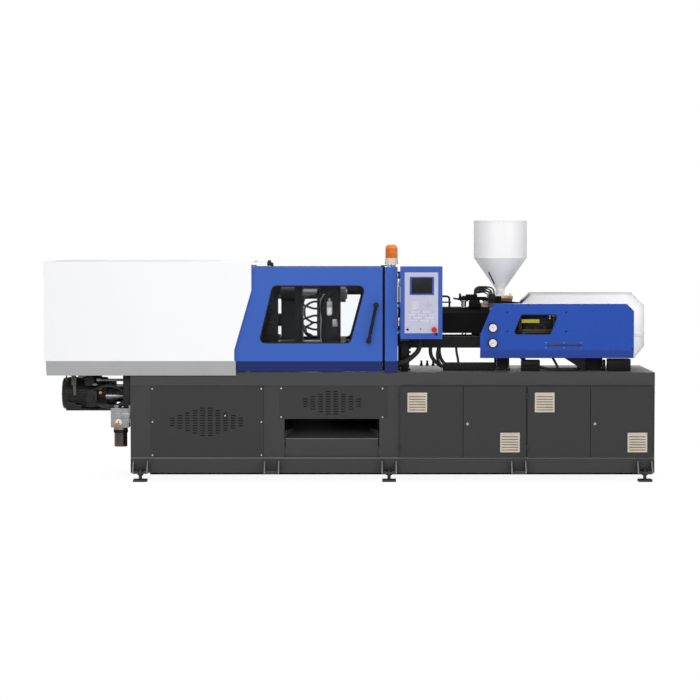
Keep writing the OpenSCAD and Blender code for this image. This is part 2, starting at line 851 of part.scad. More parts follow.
cylinder_end_x = rear_back_x - 600;
module clamp_cylinder() {
  color("#2a2c2e")
    union() {
      turned_x([
        [rear_back_x, clamp_piston_r + running], [rear_back_x, clamp_piston_r + 60],
        [rear_back_x - 30, clamp_piston_r + 60], [rear_back_x - 30, clamp_piston_r + 20],
        [cylinder_end_x, clamp_piston_r + 20], [cylinder_end_x, 0],
        [cylinder_end_x + 40, 0], [cylinder_end_x + 40, clamp_piston_r + running]
      ]);
      block(
        [cylinder_end_x + 60, cylinder_end_x + 180], [-50, 50],
        [axis_z + clamp_piston_r + 5, axis_z + clamp_piston_r + 90]
      );
      block(
        [rear_back_x - 150, rear_back_x - 60], [-45, 45],
        [axis_z + clamp_piston_r + 5, axis_z + clamp_piston_r + 80]
      );
    }
}

// Crosshead block with its four pins, its rod and its piston.
module crosshead() {
  color("#9a9da2")
    union() {
      block([crosshead_x - 40, crosshead_x + 40], [-layer_1 + 5, layer_1 - 5], [axis_z - 95, axis_z + 95]);
      for (side = [-1, 1])
        bar_y(
          -layer_1 - link_plate, layer_1 + link_plate,
          crosshead_x, axis_z + side * crosshead_pin_z, crosshead_pin_r
        );
      bar_x(rear_back_x - 260, crosshead_x, 0, axis_z, crosshead_rod_r);
      bar_x(rear_back_x - 260, rear_back_x - 200, 0, axis_z, clamp_piston_r);
    }
}

// Toggle links, drawn for the upper side; each is a pair of plates.
module strut(p0, p1, width) {
  d = p1 - p0;
  translate(p0)
    rotate(atan2(d[1], d[0]))
      translate([0, -width / 2])
        square([norm(d), width]);
}

module link_pair(inner, side) {
  both_sides()
    translate([0, inner + link_plate, axis_z])
      rotate([90, 0, 0])
        linear_extrude(link_plate)
          mirror([0, side < 0 ? 1 : 0])
            children();
}

module rear_links(side) {
  pin = [rear_pivot_x, pivot_offset];
  knee = [knee_x, pivot_offset];
  third = pin + arm;
  color("#a3a6aa")
    link_pair(layer_2, side)
      difference() {
        union() {
          strut(pin, knee, 50);
          strut(pin, third, 40);
          strut(knee, third, 40);
          translate(pin)
            circle(r = eye_r);
          translate(knee)
            circle(r = eye_r);
          translate(third)
            circle(r = eye_r - 6);
        }
        translate(pin)
          circle(r = toggle_pin_r + running);
      }
}

module front_links(side) {
  pin = [front_pivot_x, pivot_offset];
  knee = [knee_x, pivot_offset];
  color("#a3a6aa")
    link_pair(layer_3, side)
      difference() {
        union() {
          strut(pin, knee, 50);
          translate(pin)
            circle(r = eye_r);
          translate(knee)
            circle(r = eye_r);
        }
        translate(pin)
          circle(r = toggle_pin_r + running);
      }
}

module crosshead_links(side) {
  pin = [crosshead_x, crosshead_pin_z];
  third = [rear_pivot_x, pivot_offset] + arm;
  color("#a3a6aa")
    link_pair(layer_1, side)
      difference() {
        union() {
          strut(pin, third, 38);
          translate(pin)
            circle(r = crosshead_pin_r + 13);
          translate(third)
            circle(r = crosshead_pin_r + 12);
        }
        translate(pin)
          circle(r = crosshead_pin_r + running);
      }
}

module rear_link_upper() { rear_links(1); }
module rear_link_lower() { rear_links(-1); }
module front_link_upper() { front_links(1); }
module front_link_lower() { front_links(-1); }
module crosshead_link_upper() { crosshead_links(1); }
module crosshead_link_lower() { crosshead_links(-1); }

// Guard columns on both sides of the machine, joined by a top beam.
module guard_columns() {
  foot = gate_y - hem_in * 0.6;
  color("#4267c2")
    union() {
      both_sides()
        slab_yz(column_left_x, column_right_x)
          polygon([
            [-column_y, column_top], [-column_y, gate_face_z], [-foot, deck_z + 12], [-foot, deck_z],
            [-column_y + column_depth, deck_z], [-column_y + column_depth, column_top]
          ]);
      block(
        [column_left_x + 10, column_right_x - 30],
        [-column_y + column_depth - 1, column_y - column_depth + 1], [column_top - 61, column_top - 10]
      );
    }
}

// Rails that carry the two sliding gates, hung from the roof and fixed to the columns.
module gate_rails() {
  rail_y0 = -side_y - 37;
  left = gate_left_x - 970;
  color("#b9bcc0")
    both_sides() {
      block([left, column_left_x], [rail_y0, -side_y - rail_in], [rail_z, rail_z + rail_bar]);
      for (x = [left, cover_top_x - 30]) {
        block([x, x + 20], [-side_y - rail_in, -side_y + 9], [rail_z, rail_z + rail_bar - 2]);
        block([x, x + 20], [-side_y - 11, -side_y + 9], [rail_z, cover_z - 2 * sheet]);
      }
    }
}

// Sliding gate: a folded sheet with a slanted window, runners on the rail and a hem bent inwards.
window_foot = deck_z + 262;
window_top = deck_z + 763;
window_outline = [
  [gate_right_x - 285, window_foot], [gate_right_x - 151, window_top],
  [gate_right_x - 962, window_top], [gate_right_x - 1085, window_foot]
];
module gate_panel(top) {
  inner = -gate_y + gate_fold;
  difference() {
    union() {
      block([gate_left_x, gate_right_x], [-gate_y, -gate_y + sheet], [gate_face_z, top]);
      block([gate_left_x, gate_right_x], [-gate_y, inner], [top - sheet, top]);
      for (x = [gate_left_x, gate_right_x - sheet])
        block([x, x + sheet], [-gate_y, -side_y - 38], [gate_face_z, top]);
      hem([gate_left_x, gate_right_x], gate_y, gate_face_z, gate_foot_z, 40);
      for (x = [gate_left_x + 20, gate_right_x - 100])
        block([x, x + 80], [-side_y - 37, inner], [rail_z + rail_bar + seat, top - 1]);
    }
    slab_xz(-gate_y - 1, -gate_y + sheet + 1)
      polygon(rounded(window_outline, window_round));
  }
}

module gate_window() {
  slab_xz(-gate_y + sheet, -gate_y + sheet + window_pane)
    offset(delta = 25)
      polygon(window_outline);
}

module front_gate_panel() {
  color("#4267c2")
    gate_panel(gate_z);
}

module rear_gate_panel() {
  color("#4267c2")
    mirror([0, 1, 0])
      gate_panel(gate_z - 10);
}

module front_gate_window() {
  color([0.7, 0.75, 0.8, 0.35])
    gate_window();
}

module rear_gate_window() {
  color([0.7, 0.75, 0.8, 0.35])
    mirror([0, 1, 0])
      gate_window();
}

// Slanted pull handle of the front gate: two posts and a bar between them.
handle_top = [gate_right_x - 57, deck_z + 594];
handle_foot = [gate_right_x - 122, deck_z + 280];
module front_gate_handle() {
  reach = 48;
  d = handle_top - handle_foot;
  color("#16171a")
    union() {
      for (p = [handle_foot, handle_top]) {
        bar_y(-gate_y - reach, -gate_y, p[0], p[1], 13);
        bar_y(-gate_y - 8, -gate_y, p[0], p[1], 24);
        bar_y(-gate_y - reach - 14, -gate_y - reach + 14, p[0], p[1], 22);
      }
      translate([handle_foot[0], -gate_y - reach, handle_foot[1]])
        rotate([0, atan2(d[0], d[1]), 0])
          cylinder(h = norm(d), r = 14);
    }
}

// Warning beacon: base on three spacers, hollow dome and the turning reflector on its spindle.
beacon_r = 54;
beacon_z = column_top + 22;
dome_z = beacon_z + 55;
module beacon_base() {
  color("#e8dfcf")
    union() {
      for (a = [90, 210, 330])
        bar_z(column_top, beacon_z + 1, beacon_x + 36 * cos(a), beacon_y + 36 * sin(a), 6);
      bar_z(beacon_z, dome_z - 10, beacon_x, beacon_y, beacon_r + 3);
      bar_z(dome_z - 11, dome_z, beacon_x, beacon_y, beacon_r - 1);
      bar_z(dome_z - 1, dome_z + 52, beacon_x, beacon_y, 5);
    }
}

module beacon_dome() {
  wall = 4;
  top = 118;
  color([0.94, 0.49, 0.12, 0.7])
    translate([beacon_x, beacon_y, dome_z])
      rotate_extrude()
        polygon([
          [beacon_r - wall, 0], [beacon_r, 0], [beacon_r - 3, top - 22], [beacon_r - 9, top - 8],
          [beacon_r - 22, top], [0, top], [0, top - wall], [beacon_r - 24, top - wall],
          [beacon_r - 12, top - 11], [beacon_r - 3 - wall, top - 24]
        ]);
}

module beacon_reflector() {
  color("#cfd2d6")
    difference() {
      union() {
        bar_z(dome_z + 6, dome_z + 14, beacon_x, beacon_y, 34);
        block([beacon_x - 30, beacon_x - 12], [beacon_y - 30, beacon_y + 30], [dome_z + 13, dome_z + 78]);
        bar_z(dome_z + 13, dome_z + 40, beacon_x, beacon_y, 13);
      }
      bar_z(dome_z + 5, dome_z + 41, beacon_x, beacon_y, 5 + running);
    }
}

// Hinge brackets of the control panel, on the column, with the vertical pin through them.
lug_z = [panel_foot_z + 60, panel_foot_z + 290, panel_foot_z + 560];
module panel_hinge() {
  color("#1b1c1e")
    union() {
      for (z = lug_z) {
        for (z0 = [z - 30, z + 14]) {
          block([column_right_x, swivel_x + 3], [swivel_y - 5, swivel_y + 40], [z0, z0 + 16]);
          bar_z(z0, z0 + 16, swivel_x, swivel_y, 10);
        }
        bar_z(z - 30, z + 30, swivel_x, swivel_y, swivel_pin_r);
      }
    }
}

module panel_housing() {
  color("#3d5fc0")
    difference() {
      union() {
        block(
          [panel_left_x, panel_left_x + panel_width], [-panel_front + 6, -panel_back],
          [panel_foot_z, panel_top_z]
        );
        slab_xz(-panel_front, -panel_front + 7)
          difference() {
            translate([panel_left_x, panel_foot_z])
              square([panel_width, panel_tall]);
            translate([panel_left_x + 36, panel_foot_z + 50])
              square([panel_width - 72, panel_tall - 102]);
          }
        for (z = lug_z) {
          bar_z(z - 13.5, z + 13.5, swivel_x, swivel_y, 10);
          block([swivel_x, panel_left_x + 1], [swivel_y - 8, swivel_y + 8], [z - 13.5, z + 13.5]);
        }
      }
      for (z = lug_z)
        bar_z(z - 14, z + 14, swivel_x, swivel_y, swivel_pin_r + running);
      bar_y(-panel_front - 1, -panel_front + 60, estop_x, estop_z, 12 + running);
    }
}

module panel_fascia() {
  color("#c4c4dc")
    slab_xz(-panel_front + 2, -panel_front + 6)
      difference() {
        translate([panel_left_x + 37, panel_foot_z + 51])
          square([panel_width - 74, panel_tall - 104]);
        translate([estop_x, estop_z])
          circle(r = 14);
      }
}

module estop_button() {
  gap = estop_travel + 1;
  color("#cc2e2e")
    union() {
      bar_y(-panel_front + 2 - gap, -panel_front + 50, estop_x, estop_z, 12);
      bar_y(-panel_front + 2 - gap - 18, -panel_front + 2 - gap, estop_x, estop_z, estop_r);
    }
}

// Cabinet doors: folded sheets with a vent opening, knuckles on their hinge edge.
function door_left(i) = i < 2
  ? doors_left + i * (door_w + door_seam)
  : doors_mid + hinge_pitch / 2 + hinge_out + (i - 2) * (door_w + door_seam);
function door_hinge(i) = i % 2 == 0 ? door_left(i) - hinge_out : door_left(i) + door_w + hinge_out;
latch_z = door_foot + 296;
latch_in = 36;
module cabinet_door(i) {
  x0 = door_left(i);
  x1 = x0 + door_w;
  y0 = -door_face;
  y1 = -side_y - door_gap;
  side = i % 2 == 0 ? 1 : -1;
  axis_x = door_hinge(i);
  edge = i % 2 == 0 ? x0 : x1;
  vent_x = i % 2 == 0 ? x0 + 75 : x1 - 66 - vent_size;
  vent_z = i % 2 == 0 ? door_top - 67 - vent_size : door_foot + 56;
  color("#484848")
    difference() {
      union() {
        block([x0, x1], [y0, y0 + sheet], [door_foot, door_top]);
        for (x = [x0, x1 - sheet])
          block([x, x + sheet], [y0, y1], [door_foot, door_top]);
        for (z = [door_foot, door_top - sheet])
          block([x0, x1], [y0, y1], [z, z + sheet]);
        for (z = hinge_z) {
          bar_z(z - 9.7, z + 9.7, axis_x, hinge_y, knuckle_r);
          block(
            side > 0 ? [axis_x, edge + 24] : [edge - 24, axis_x],
            [hinge_y + 2.6, y0 + 0.5], [z - 9.7, z + 9.7]
          );
        }
      }
      block([vent_x, vent_x + vent_size], [y0 - 1, y0 + sheet + 1], [vent_z, vent_z + vent_size]);
      for (z = hinge_z)
        bar_z(z - 10, z + 10, axis_x, hinge_y, hinge_pin_r + running);
      if (side < 0)
        bar_y(y0 - 1, y0 + sheet + 1, x0 + latch_in, latch_z, latch_r - 4 + running);
    }
}

module cabinet_door_1() { cabinet_door(0); }
module cabinet_door_2() { cabinet_door(1); }
module cabinet_door_3() { cabinet_door(2); }
module cabinet_door_4() { cabinet_door(3); }

// Quarter-turn latches: a round head, a stem through the door and a tongue behind it.
module door_latch(i) {
  x = door_left(i) + latch_in;
  color("#17181a")
    union() {
      bar_y(-door_face - 5, -door_face, x, latch_z, latch_r);
      bar_y(-door_face - 1, -door_face + sheet + 6, x, latch_z, latch_r - 4);
      block([x - 4, x + 4], [-door_face - 9, -door_face - 4], [latch_z - 11, latch_z + 11]);
      block([x - 28, x + 8], [-door_face + sheet + 2, -door_face + sheet + 5.5], [latch_z - 8, latch_z + 8]);
    }
}

module door_latch_1() { door_latch(1); }
module door_latch_2() { door_latch(3); }

// Mounting plates in the two cabinets with contactors, drives and terminal blocks.
gear_plate = doors_mid - divider_post / 2 - control_right - 107;
module switchgear() {
  color("#b8b4a8")
    for (x0 = [control_right + 30, doors_mid + 50]) {
      block([x0, x0 + gear_plate], [-60, -50], [panel_z, deck_z0 - 40]);
      for (i = [0 : 5])
        block([x0 + 60 + i * 145, x0 + 170 + i * 145], [-150, -59], [deck_z0 - 210, deck_z0 - 90]);
      for (i = [0 : 2])
        block([x0 + 60 + i * 290, x0 + 300 + i * 290], [-220, -59], [panel_z + 120, panel_z + 340]);
      block([x0 + 40, x0 + 920], [-85, -59], [panel_z + 40, panel_z + 80]);
    }
}

// Rails of the injection unit on their pedestals.
pedestals = [
  [rail_left_x, rail_left_x + 108], [throat_x + 62, throat_x + 188], [throat_x + 828, throat_x + 1021]
];
module carriage_rails() {
  half = rail_width / 2;
  color("#17181a")
    both_sides() {
      block([rail_left_x, rail_right_x], [-rail_y - half, -rail_y + half], [rails_z - rail_height, rails_z]);
      for (x = pedestals) {
        block(x, [-rail_y - half - 10, -rail_y + half + 10], [deck_z, deck_z + 16]);
        block([x[0] + 8, x[1] - 8], [-rail_y - half, -rail_y + half], [deck_z, rails_z - rail_height + 1]);
      }
    }
}

// Carriage: plate on the rails, front wall for the barrel end, and the injection and carriage cylinders.
module carriage_frame() {
  plate_y = rail_y + rail_width / 2 + 5;
  right = thrust_x + thrust_thick + motor_length + 20;
  color("#55585c")
    difference() {
      union() {
        block([plate_left_x, right], [-plate_y, plate_y], [rails_z + seat, plate_z]);
        block([throat_right_x, cylinder_x], [-200, 200], [plate_z - 1, axis_z + 120]);
        for (y = [-ram_y, ram_y])
          bar_x(cylinder_x - 1, cylinder_x + cylinder_length, y, axis_z, ram_rod_r + 25);
        for (y = [-push_y, push_y]) {
          bar_x(push_left_x, push_right_x, y, push_z, push_bore_r + 10);
          block([push_right_x - 30, push_right_x], [y - 38, y + 38], [push_z - 38, rails_z + 1]);
        }
      }
      bar_x(throat_right_x - 1, cylinder_x + 1, 0, axis_z, barrel_bore_r + 1);
      for (y = [-ram_y, ram_y])
        bar_x(cylinder_x + 10, cylinder_x + cylinder_length + 1, y, axis_z, ram_rod_r + running);
      for (y = [-push_y, push_y]) {
        bar_x(push_left_x - 1, push_left_x + 31, y, push_z, push_rod_r + running);
        bar_x(push_left_x + 30, push_right_x - 10, y, push_z, push_bore_r);
      }
    }
}

// Barrel with its nozzle, heater bands and end flange.
module barrel() {
  nose = nozzle_tip_x + 163;
  color("#8f8a82")
    difference() {
      union() {
        turned_x([
          [nozzle_tip_x, 0], [nozzle_tip_x, 9], [nozzle_tip_x + 14, 16], [nozzle_tip_x + 40, 21],
          [nose - 40, 21], [nose - 40, 34], [nose, 40], [nose, barrel_r],
          [throat_x, barrel_r], [throat_x, 0]
        ]);
        bar_x(throat_x - 70, throat_x, 0, axis_z, barrel_r + 38);
        for (i = [0 : 4])
          bar_x(nose + 20 + i * 160, nose + 140 + i * 160, 0, axis_z, barrel_r + 8);
      }
      bar_x(nose + 5, throat_x + 1, 0, axis_z, barrel_bore_r);
      bar_x(nozzle_tip_x - 1, nose + 6, 0, axis_z, 4);
    }
}

// Barrel guard: a folded sheet over the heated barrel, open below.
module barrel_guard() {
  left = nozzle_tip_x + 300;
  half = 170;
  foot = axis_z - 102;
  top = axis_z + 117;
  function hood(t) = [
    [-half + t, foot - 1 + t], [-half + t, top - 50 + t * 0.4], [-half + 50 + t * 0.4, top - t],
    [half - 50 - t * 0.4, top - t], [half - t, top - 50 + t * 0.4], [half - t, foot - 1 + t]
  ];
  color("#151616")
    difference() {
      slab_yz(left, throat_x)
        polygon(hood(0));
      slab_yz(left + sheet, throat_x - sheet)
        polygon(hood(sheet));
      block([left + sheet, throat_x - sheet], [-half + 30, half - 30], [foot - 2, foot + sheet + 1]);
      bar_x(left - 1, left + sheet + 1, 0, axis_z, barrel_r + 12);
      bar_x(throat_x - sheet - 1, throat_x + 1, 0, axis_z, barrel_r + 39);
    }
}

// Throat block under the hopper: screw bore along it and the feed hole from its top.
module throat_block() {
  color("#6f5f50")
    difference() {
      union() {
        block([throat_x, throat_right_x], [-110, 110], [plate_z, throat_top - 62]);
        block([throat_x - 4, throat_right_x - 8], [-118, 118], [throat_top - 62, throat_top]);
      }
      bar_x(throat_x - 1, throat_right_x + 1, 0, axis_z, barrel_bore_r + 0.5);
      bar_z(axis_z, throat_top + 1, hopper_x, 0, neck_r - hopper_wall);
    }
}

// Hopper: spun cylinder, cone and neck on a square flange, with two hinge ears behind.
lid_y = hopper_r + 12;
module hopper() {
  color("#edeeee") {
    union() {
      difference() {
        bar_z(cylinder_z + seat, hopper_top, hopper_x, 0, hopper_r, $fn = 96);
        bar_z(cylinder_z, hopper_top + 1, hopper_x, 0, hopper_r - hopper_wall, $fn = 96);
      }
      for (x = [hopper_x - 40, hopper_x + 30]) {
        block([x, x + 10], [hopper_r - 1, lid_y + 6], [hopper_top - 30, hopper_top - 3]);
        block([x, x + 10], [hopper_r + 3, lid_y + 6], [hopper_top - 30, hopper_top + 9]);
      }
      bar_x(hopper_x - 40, hopper_x + 40, lid_y, hopper_top + 3, 3);
    }
    translate([hopper_x, 0, 0])
      rotate_extrude($fn = 96)
        polygon([
          [neck_r - hopper_wall, cone_z + seat], [neck_r, cone_z + seat],
          [hopper_r, cylinder_z], [hopper_r - hopper_wall, cylinder_z]
        ]);
    difference() {
      union() {
        bar_z(hopper_z - 1, cone_z, hopper_x, 0, neck_r);
        block([hopper_x - 108, hopper_x + 108], [-108, 108], [throat_top, hopper_z]);
      }
      bar_z(throat_top - 1, cone_z + 1, hopper_x, 0, neck_r - hopper_wall);
    }
  }
}

module hopper_lid() {
  color("#e4e5e6")
    difference() {
      union() {
        bar_z(hopper_top + seat, hopper_top + 5, hopper_x, 0, hopper_r + 1, $fn = 96);
        block([hopper_x - 28, hopper_x + 28], [hopper_r - 30, lid_y], [hopper_top + seat, hopper_top + 5]);
        bar_x(hopper_x - 28, hopper_x + 28, lid_y, hopper_top + 3, 6);
      }
      bar_x(hopper_x - 29, hopper_x + 29, lid_y, hopper_top + 3, 3 + running);
    }
}

// Front guard of the injection unit: a folded sheet with a slanted window, on two brackets.
module guard_bracket(x, inner, outer) {
  block([x, x + 30], [-outer, -inner], [rails_z + 2, plate_z]);
}

module injection_guard() {
  y0 = -guard_y;
  fold_z = guard_foot + guard_hem;
  inner = rail_y + rail_width / 2 + 5;
  color("#2a52b0")
    union() {
      slab_xz(y0, y0 + sheet)
        difference() {
          polygon([
            [guard_left_x, fold_z], [guard_left_x, axis_z - 116], [guard_left_x + 114, guard_top],
            [guard_right_x - 64, guard_top], [guard_right_x, guard_top - 64], [guard_right_x, fold_z]
          ]);
          translate([throat_x, axis_z])
            polygon(rounded([[203, -111], [528, -111], [593, 60], [272, 60]], 24));
        }
      hem([guard_left_x, guard_right_x], guard_y, fold_z + 0.01, guard_foot, 12);
      block([guard_left_x + 114, guard_right_x - 64], [y0, y0 + 200], [guard_top - sheet, guard_top]);
      block([guard_right_x - sheet, guard_right_x], [y0, y0 + 200], [fold_z, guard_top - 64]);
      slab_xz(y0, y0 + 200)
        polygon([
          [guard_right_x - 64, guard_top], [guard_right_x, guard_top - 64],
          [guard_right_x - sheet, guard_top - 65], [guard_right_x - 65, guard_top - sheet]
        ]);
      for (x = [throat_x + 280, throat_x + 1030])
        guard_bracket(x, inner, guard_y - 1);
    }
}

// Rear guard of the injection unit: a shallow white tray with cut corners, open towards the unit.
module rear_guard() {
  z1 = axis_z + rear_guard_up;
  z0 = axis_z - rear_guard_down;
  x0 = throat_x + rear_guard_in;
  x1 = x0 + rear_guard_long;
  front = guard_y - 60;
  function tray(t) = [
    [x0 + t, z0 + t], [x0 + t, z1 - 92 - t * 0.4], [x0 + 94 + t * 0.4, z1 - t],
    [x1 - 127 - t * 0.4, z1 - t], [x1 - t, z1 - 122 - t * 0.4], [x1 - t, z0 + 108 + t * 0.4],
    [x1 - 87 - t * 0.4, z0 + t]
  ];
  color("#f4f5f6")
    union() {
      difference() {
        slab_xz(front, guard_y)
          polygon(tray(0));
        slab_xz(front - 1, guard_y - sheet)
          polygon(tray(sheet));
      }
      mirror([0, 1, 0])
        for (x = [throat_x + 430, throat_x + 1030])
          guard_bracket(x, rail_y + rail_width / 2 + 5, guard_y - 1);
    }
}

// Two pressure gauges on the front guard.
gauge_x = throat_x + 19;
gauge_z = [axis_z - 54, axis_z - 189];
module pressure_gauges() {
  color("#d9dadb")
    for (z = gauge_z) {
      bar_y(-guard_y - 24, -guard_y, gauge_x, z, gauge_r);
      bar_y(-guard_y - 28, -guard_y - 23, gauge_x, z, gauge_r - 8);
    }
}

// Screw drive: injection cylinders' rods, thrust plate and hydraulic motor, which move with the screw.
module screw_drive() {
  color("#3a3d40")
    difference() {
      union() {
        block([thrust_x, thrust_x + thrust_thick], [-190, 190], [plate_z + seat, axis_z + 110]);
        bar_x(thrust_x + thrust_thick - 1, thrust_x + thrust_thick + motor_length, 0, axis_z, 88);
        bar_x(thrust_x + thrust_thick + 40, thrust_x + thrust_thick + motor_length - 40, 0, axis_z, 96);
        for (y = [-ram_y, ram_y])
          bar_x(cylinder_x + 60, thrust_x + 1, y, axis_z, ram_rod_r);
      }
      bar_x(thrust_x - 1, thrust_x + 60, 0, axis_z, 22 + running);
    }
}

// Plasticising screw: a plain shank, a core and a flight wound round it, all inside the barrel.
module flight(x0, x1, r0, r1, width, turns) {
  steps = turns * 10;
  pitch = (x1 - x0 - width) / turns;
  section = [[0, r0], [0, r1], [width, r1], [width, r0]];
  points = [
    for (i = [0 : steps]) for (s = section)
      [x0 + s[0] + pitch * i / 10, s[1] * cos(36 * i), s[1] * sin(36 * i)]
  ];
  walls = [
    for (i = [0 : steps - 1]) for (k = [0 : 3])
      [i * 4 + k, i * 4 + (k + 1) % 4, (i + 1) * 4 + (k + 1) % 4, (i + 1) * 4 + k]
  ];
  translate([0, 0, axis_z])
    polyhedron(points, concat(walls, [[3, 2, 1, 0], [for (k = [0 : 3]) steps * 4 + k]]));
}

module screw() {
  core_r = barrel_bore_r - 8;
  start = nozzle_tip_x + 180;
  color("#b6b9bd")
    union() {
      bar_x(throat_x - 20, thrust_x + 58, 0, axis_z, 22);
      bar_x(start, throat_x - 19, 0, axis_z, core_r);
      flight(start + 20, throat_x - 24, core_r - 2, barrel_bore_r - 0.5, 7, 12);
    }
}

base_frame();
deck_frame();
levelling_feet();
base_panels();
drop_chute();
oil_tank();
pump_motor();
lube_pump();
lube_reservoir();
front_cover();
rear_cover();
roof_cover();
fixed_platen();
tie_bars();
guard_columns();
gate_rails();
beacon_base();
beacon_dome();
beacon_reflector();
panel_hinge();
switchgear();
carriage_rails();
color("#17181a") hose(conduit_route, conduit_r);  // panel_conduit
color("#17181a") hose(hose_route, hose_r);  // barrel_hose
rear_platen();
clamp_cylinder();
crosshead();
rear_link_upper();
rear_link_lower();
front_link_upper();
front_link_lower();
crosshead_link_upper();
crosshead_link_lower();
moving_platen();
ejector_rod();
front_gate_panel();
front_gate_window();
front_gate_handle();
rear_gate_panel();
rear_gate_window();
panel_housing();
panel_fascia();
estop_button();
cabinet_door_1();
cabinet_door_2();
cabinet_door_3();
cabinet_door_4();
door_latch_1();
door_latch_2();
carriage_frame();
injection_guard();
rear_guard();
barrel();
barrel_guard();
throat_block();
hopper();
hopper_lid();
pressure_gauges();
screw_drive();
screw();
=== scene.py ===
import math

import bmesh
import bpy
from mathutils import Matrix, Vector


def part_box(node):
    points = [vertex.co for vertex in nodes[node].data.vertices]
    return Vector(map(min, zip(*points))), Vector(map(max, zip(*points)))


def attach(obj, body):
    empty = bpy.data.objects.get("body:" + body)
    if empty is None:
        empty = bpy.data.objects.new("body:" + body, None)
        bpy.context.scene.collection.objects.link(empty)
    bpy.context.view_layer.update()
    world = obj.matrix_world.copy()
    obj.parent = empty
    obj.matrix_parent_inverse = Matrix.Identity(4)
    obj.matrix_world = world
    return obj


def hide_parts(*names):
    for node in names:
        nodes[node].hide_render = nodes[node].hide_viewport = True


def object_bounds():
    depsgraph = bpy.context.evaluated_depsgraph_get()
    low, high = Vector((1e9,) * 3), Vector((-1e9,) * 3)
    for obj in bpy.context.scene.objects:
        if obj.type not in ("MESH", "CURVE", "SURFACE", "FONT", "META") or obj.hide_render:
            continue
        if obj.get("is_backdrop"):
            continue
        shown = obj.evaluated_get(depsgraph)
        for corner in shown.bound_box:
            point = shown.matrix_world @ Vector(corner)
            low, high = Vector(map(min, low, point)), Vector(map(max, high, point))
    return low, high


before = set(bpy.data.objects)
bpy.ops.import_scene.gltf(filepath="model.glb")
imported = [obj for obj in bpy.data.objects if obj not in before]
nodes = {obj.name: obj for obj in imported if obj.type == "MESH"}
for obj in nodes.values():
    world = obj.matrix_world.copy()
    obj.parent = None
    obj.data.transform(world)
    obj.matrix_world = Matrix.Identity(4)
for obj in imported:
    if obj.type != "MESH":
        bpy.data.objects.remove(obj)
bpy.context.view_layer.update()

# The studio: a pale painted floor and white light from all round, with large soft lamps in front and above.
# To the camera the floor glows nearly white, so that shadows on it are faint.
# It thins out some metres off, so that no horizon shows.
scene = bpy.context.scene
scene.view_settings.view_transform = "Standard"
scene.view_settings.look = "None"
white = (1, 1, 1, 1)


def set_on(node, values):
    for socket, value in values.items():
        node.inputs[socket].default_value = value
    return node


def added(tree, kind, values=None, operation=None):
    node = tree.nodes.new(f"ShaderNode{kind}")
    if operation:
        node.operation = operation
    return set_on(node, values or {})


def joined(tree, *pairs):
    for source, socket in pairs:
        tree.links.new(source, socket)


def new_material(name):
    material = bpy.data.materials.new(name)
    material.use_nodes = True
    return material, material.node_tree, material.node_tree.nodes["Principled BSDF"]


def placed(name, data):
    thing = bpy.data.objects.new(name, data)
    bpy.context.collection.objects.link(thing)
    return thing


air = bpy.data.worlds.new("studio_air")
scene.world = air
air.use_nodes = True
tree = air.node_tree
room_light = set_on(tree.nodes["Background"], {"Color": (0.965, 0.975, 1.0, 1), "Strength": 0.38})
backdrop_light = added(tree, "Background", {"Color": white, "Strength": 1.0})
ray = added(tree, "LightPath").outputs
sheen = added(tree, "Math", {1: 0.3}, "MULTIPLY")
through = added(tree, "Math", operation="MAXIMUM")
direct = added(tree, "Math", operation="MAXIMUM")
seen = added(tree, "MixShader")
joined(tree,
       (ray["Is Glossy Ray"], sheen.inputs[0]),
       (ray["Is Transmission Ray"], through.inputs[0]),
       (sheen.outputs[0], through.inputs[1]),
       (ray["Is Camera Ray"], direct.inputs[0]),
       (through.outputs[0], direct.inputs[1]),
       (direct.outputs[0], seen.inputs["Fac"]),
       (room_light.outputs[0], seen.inputs[1]),
       (backdrop_light.outputs[0], seen.inputs[2]),
       (seen.outputs[0], tree.nodes["World Output"].inputs["Surface"]))

floor_mesh = bmesh.new()
bmesh.ops.create_circle(floor_mesh, cap_ends=True, segments=72, radius=18)
floor_data = bpy.data.meshes.new("studio_floor")
floor_mesh.to_mesh(floor_data)
floor_mesh.free()
floor_paint, tree, shader = new_material("floor_paint")
set_on(shader, {"Base Color": (0.93, 0.93, 0.93, 1), "Roughness": 0.75, "Specular IOR Level": 0.15,
                "Emission Color": white, "Emission Strength": 0.18})
reach = added(tree, "VectorMath", operation="LENGTH")
fade = added(tree, "MapRange", {"From Min": 3.2, "From Max": 8.5})
thin = added(tree, "MixShader")
pale = added(tree, "BsdfDiffuse", {"Color": (0.14, 0.14, 0.14, 1)})
glow = added(tree, "Emission", {"Strength": 0.93})
lit = added(tree, "AddShader")
face = added(tree, "MixShader")
joined(tree,
       (pale.outputs[0], lit.inputs[0]),
       (glow.outputs[0], lit.inputs[1]),
       (added(tree, "LightPath").outputs["Is Camera Ray"], face.inputs["Fac"]),
       (shader.outputs[0], face.inputs[1]),
       (lit.outputs[0], face.inputs[2]),
       (added(tree, "TexCoord").outputs["Object"], reach.inputs[0]),
       (reach.outputs["Value"], fade.inputs["Value"]),
       (fade.outputs["Result"], thin.inputs["Fac"]),
       (face.outputs[0], thin.inputs[1]),
       (added(tree, "BsdfTransparent").outputs[0], thin.inputs[2]),
       (thin.outputs[0], tree.nodes["Material Output"].inputs["Surface"]))
floor_data.materials.append(floor_paint)
placed("studio_floor", floor_data)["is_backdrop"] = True

lamps_aim = Vector((-0.3, 0, 1.1))
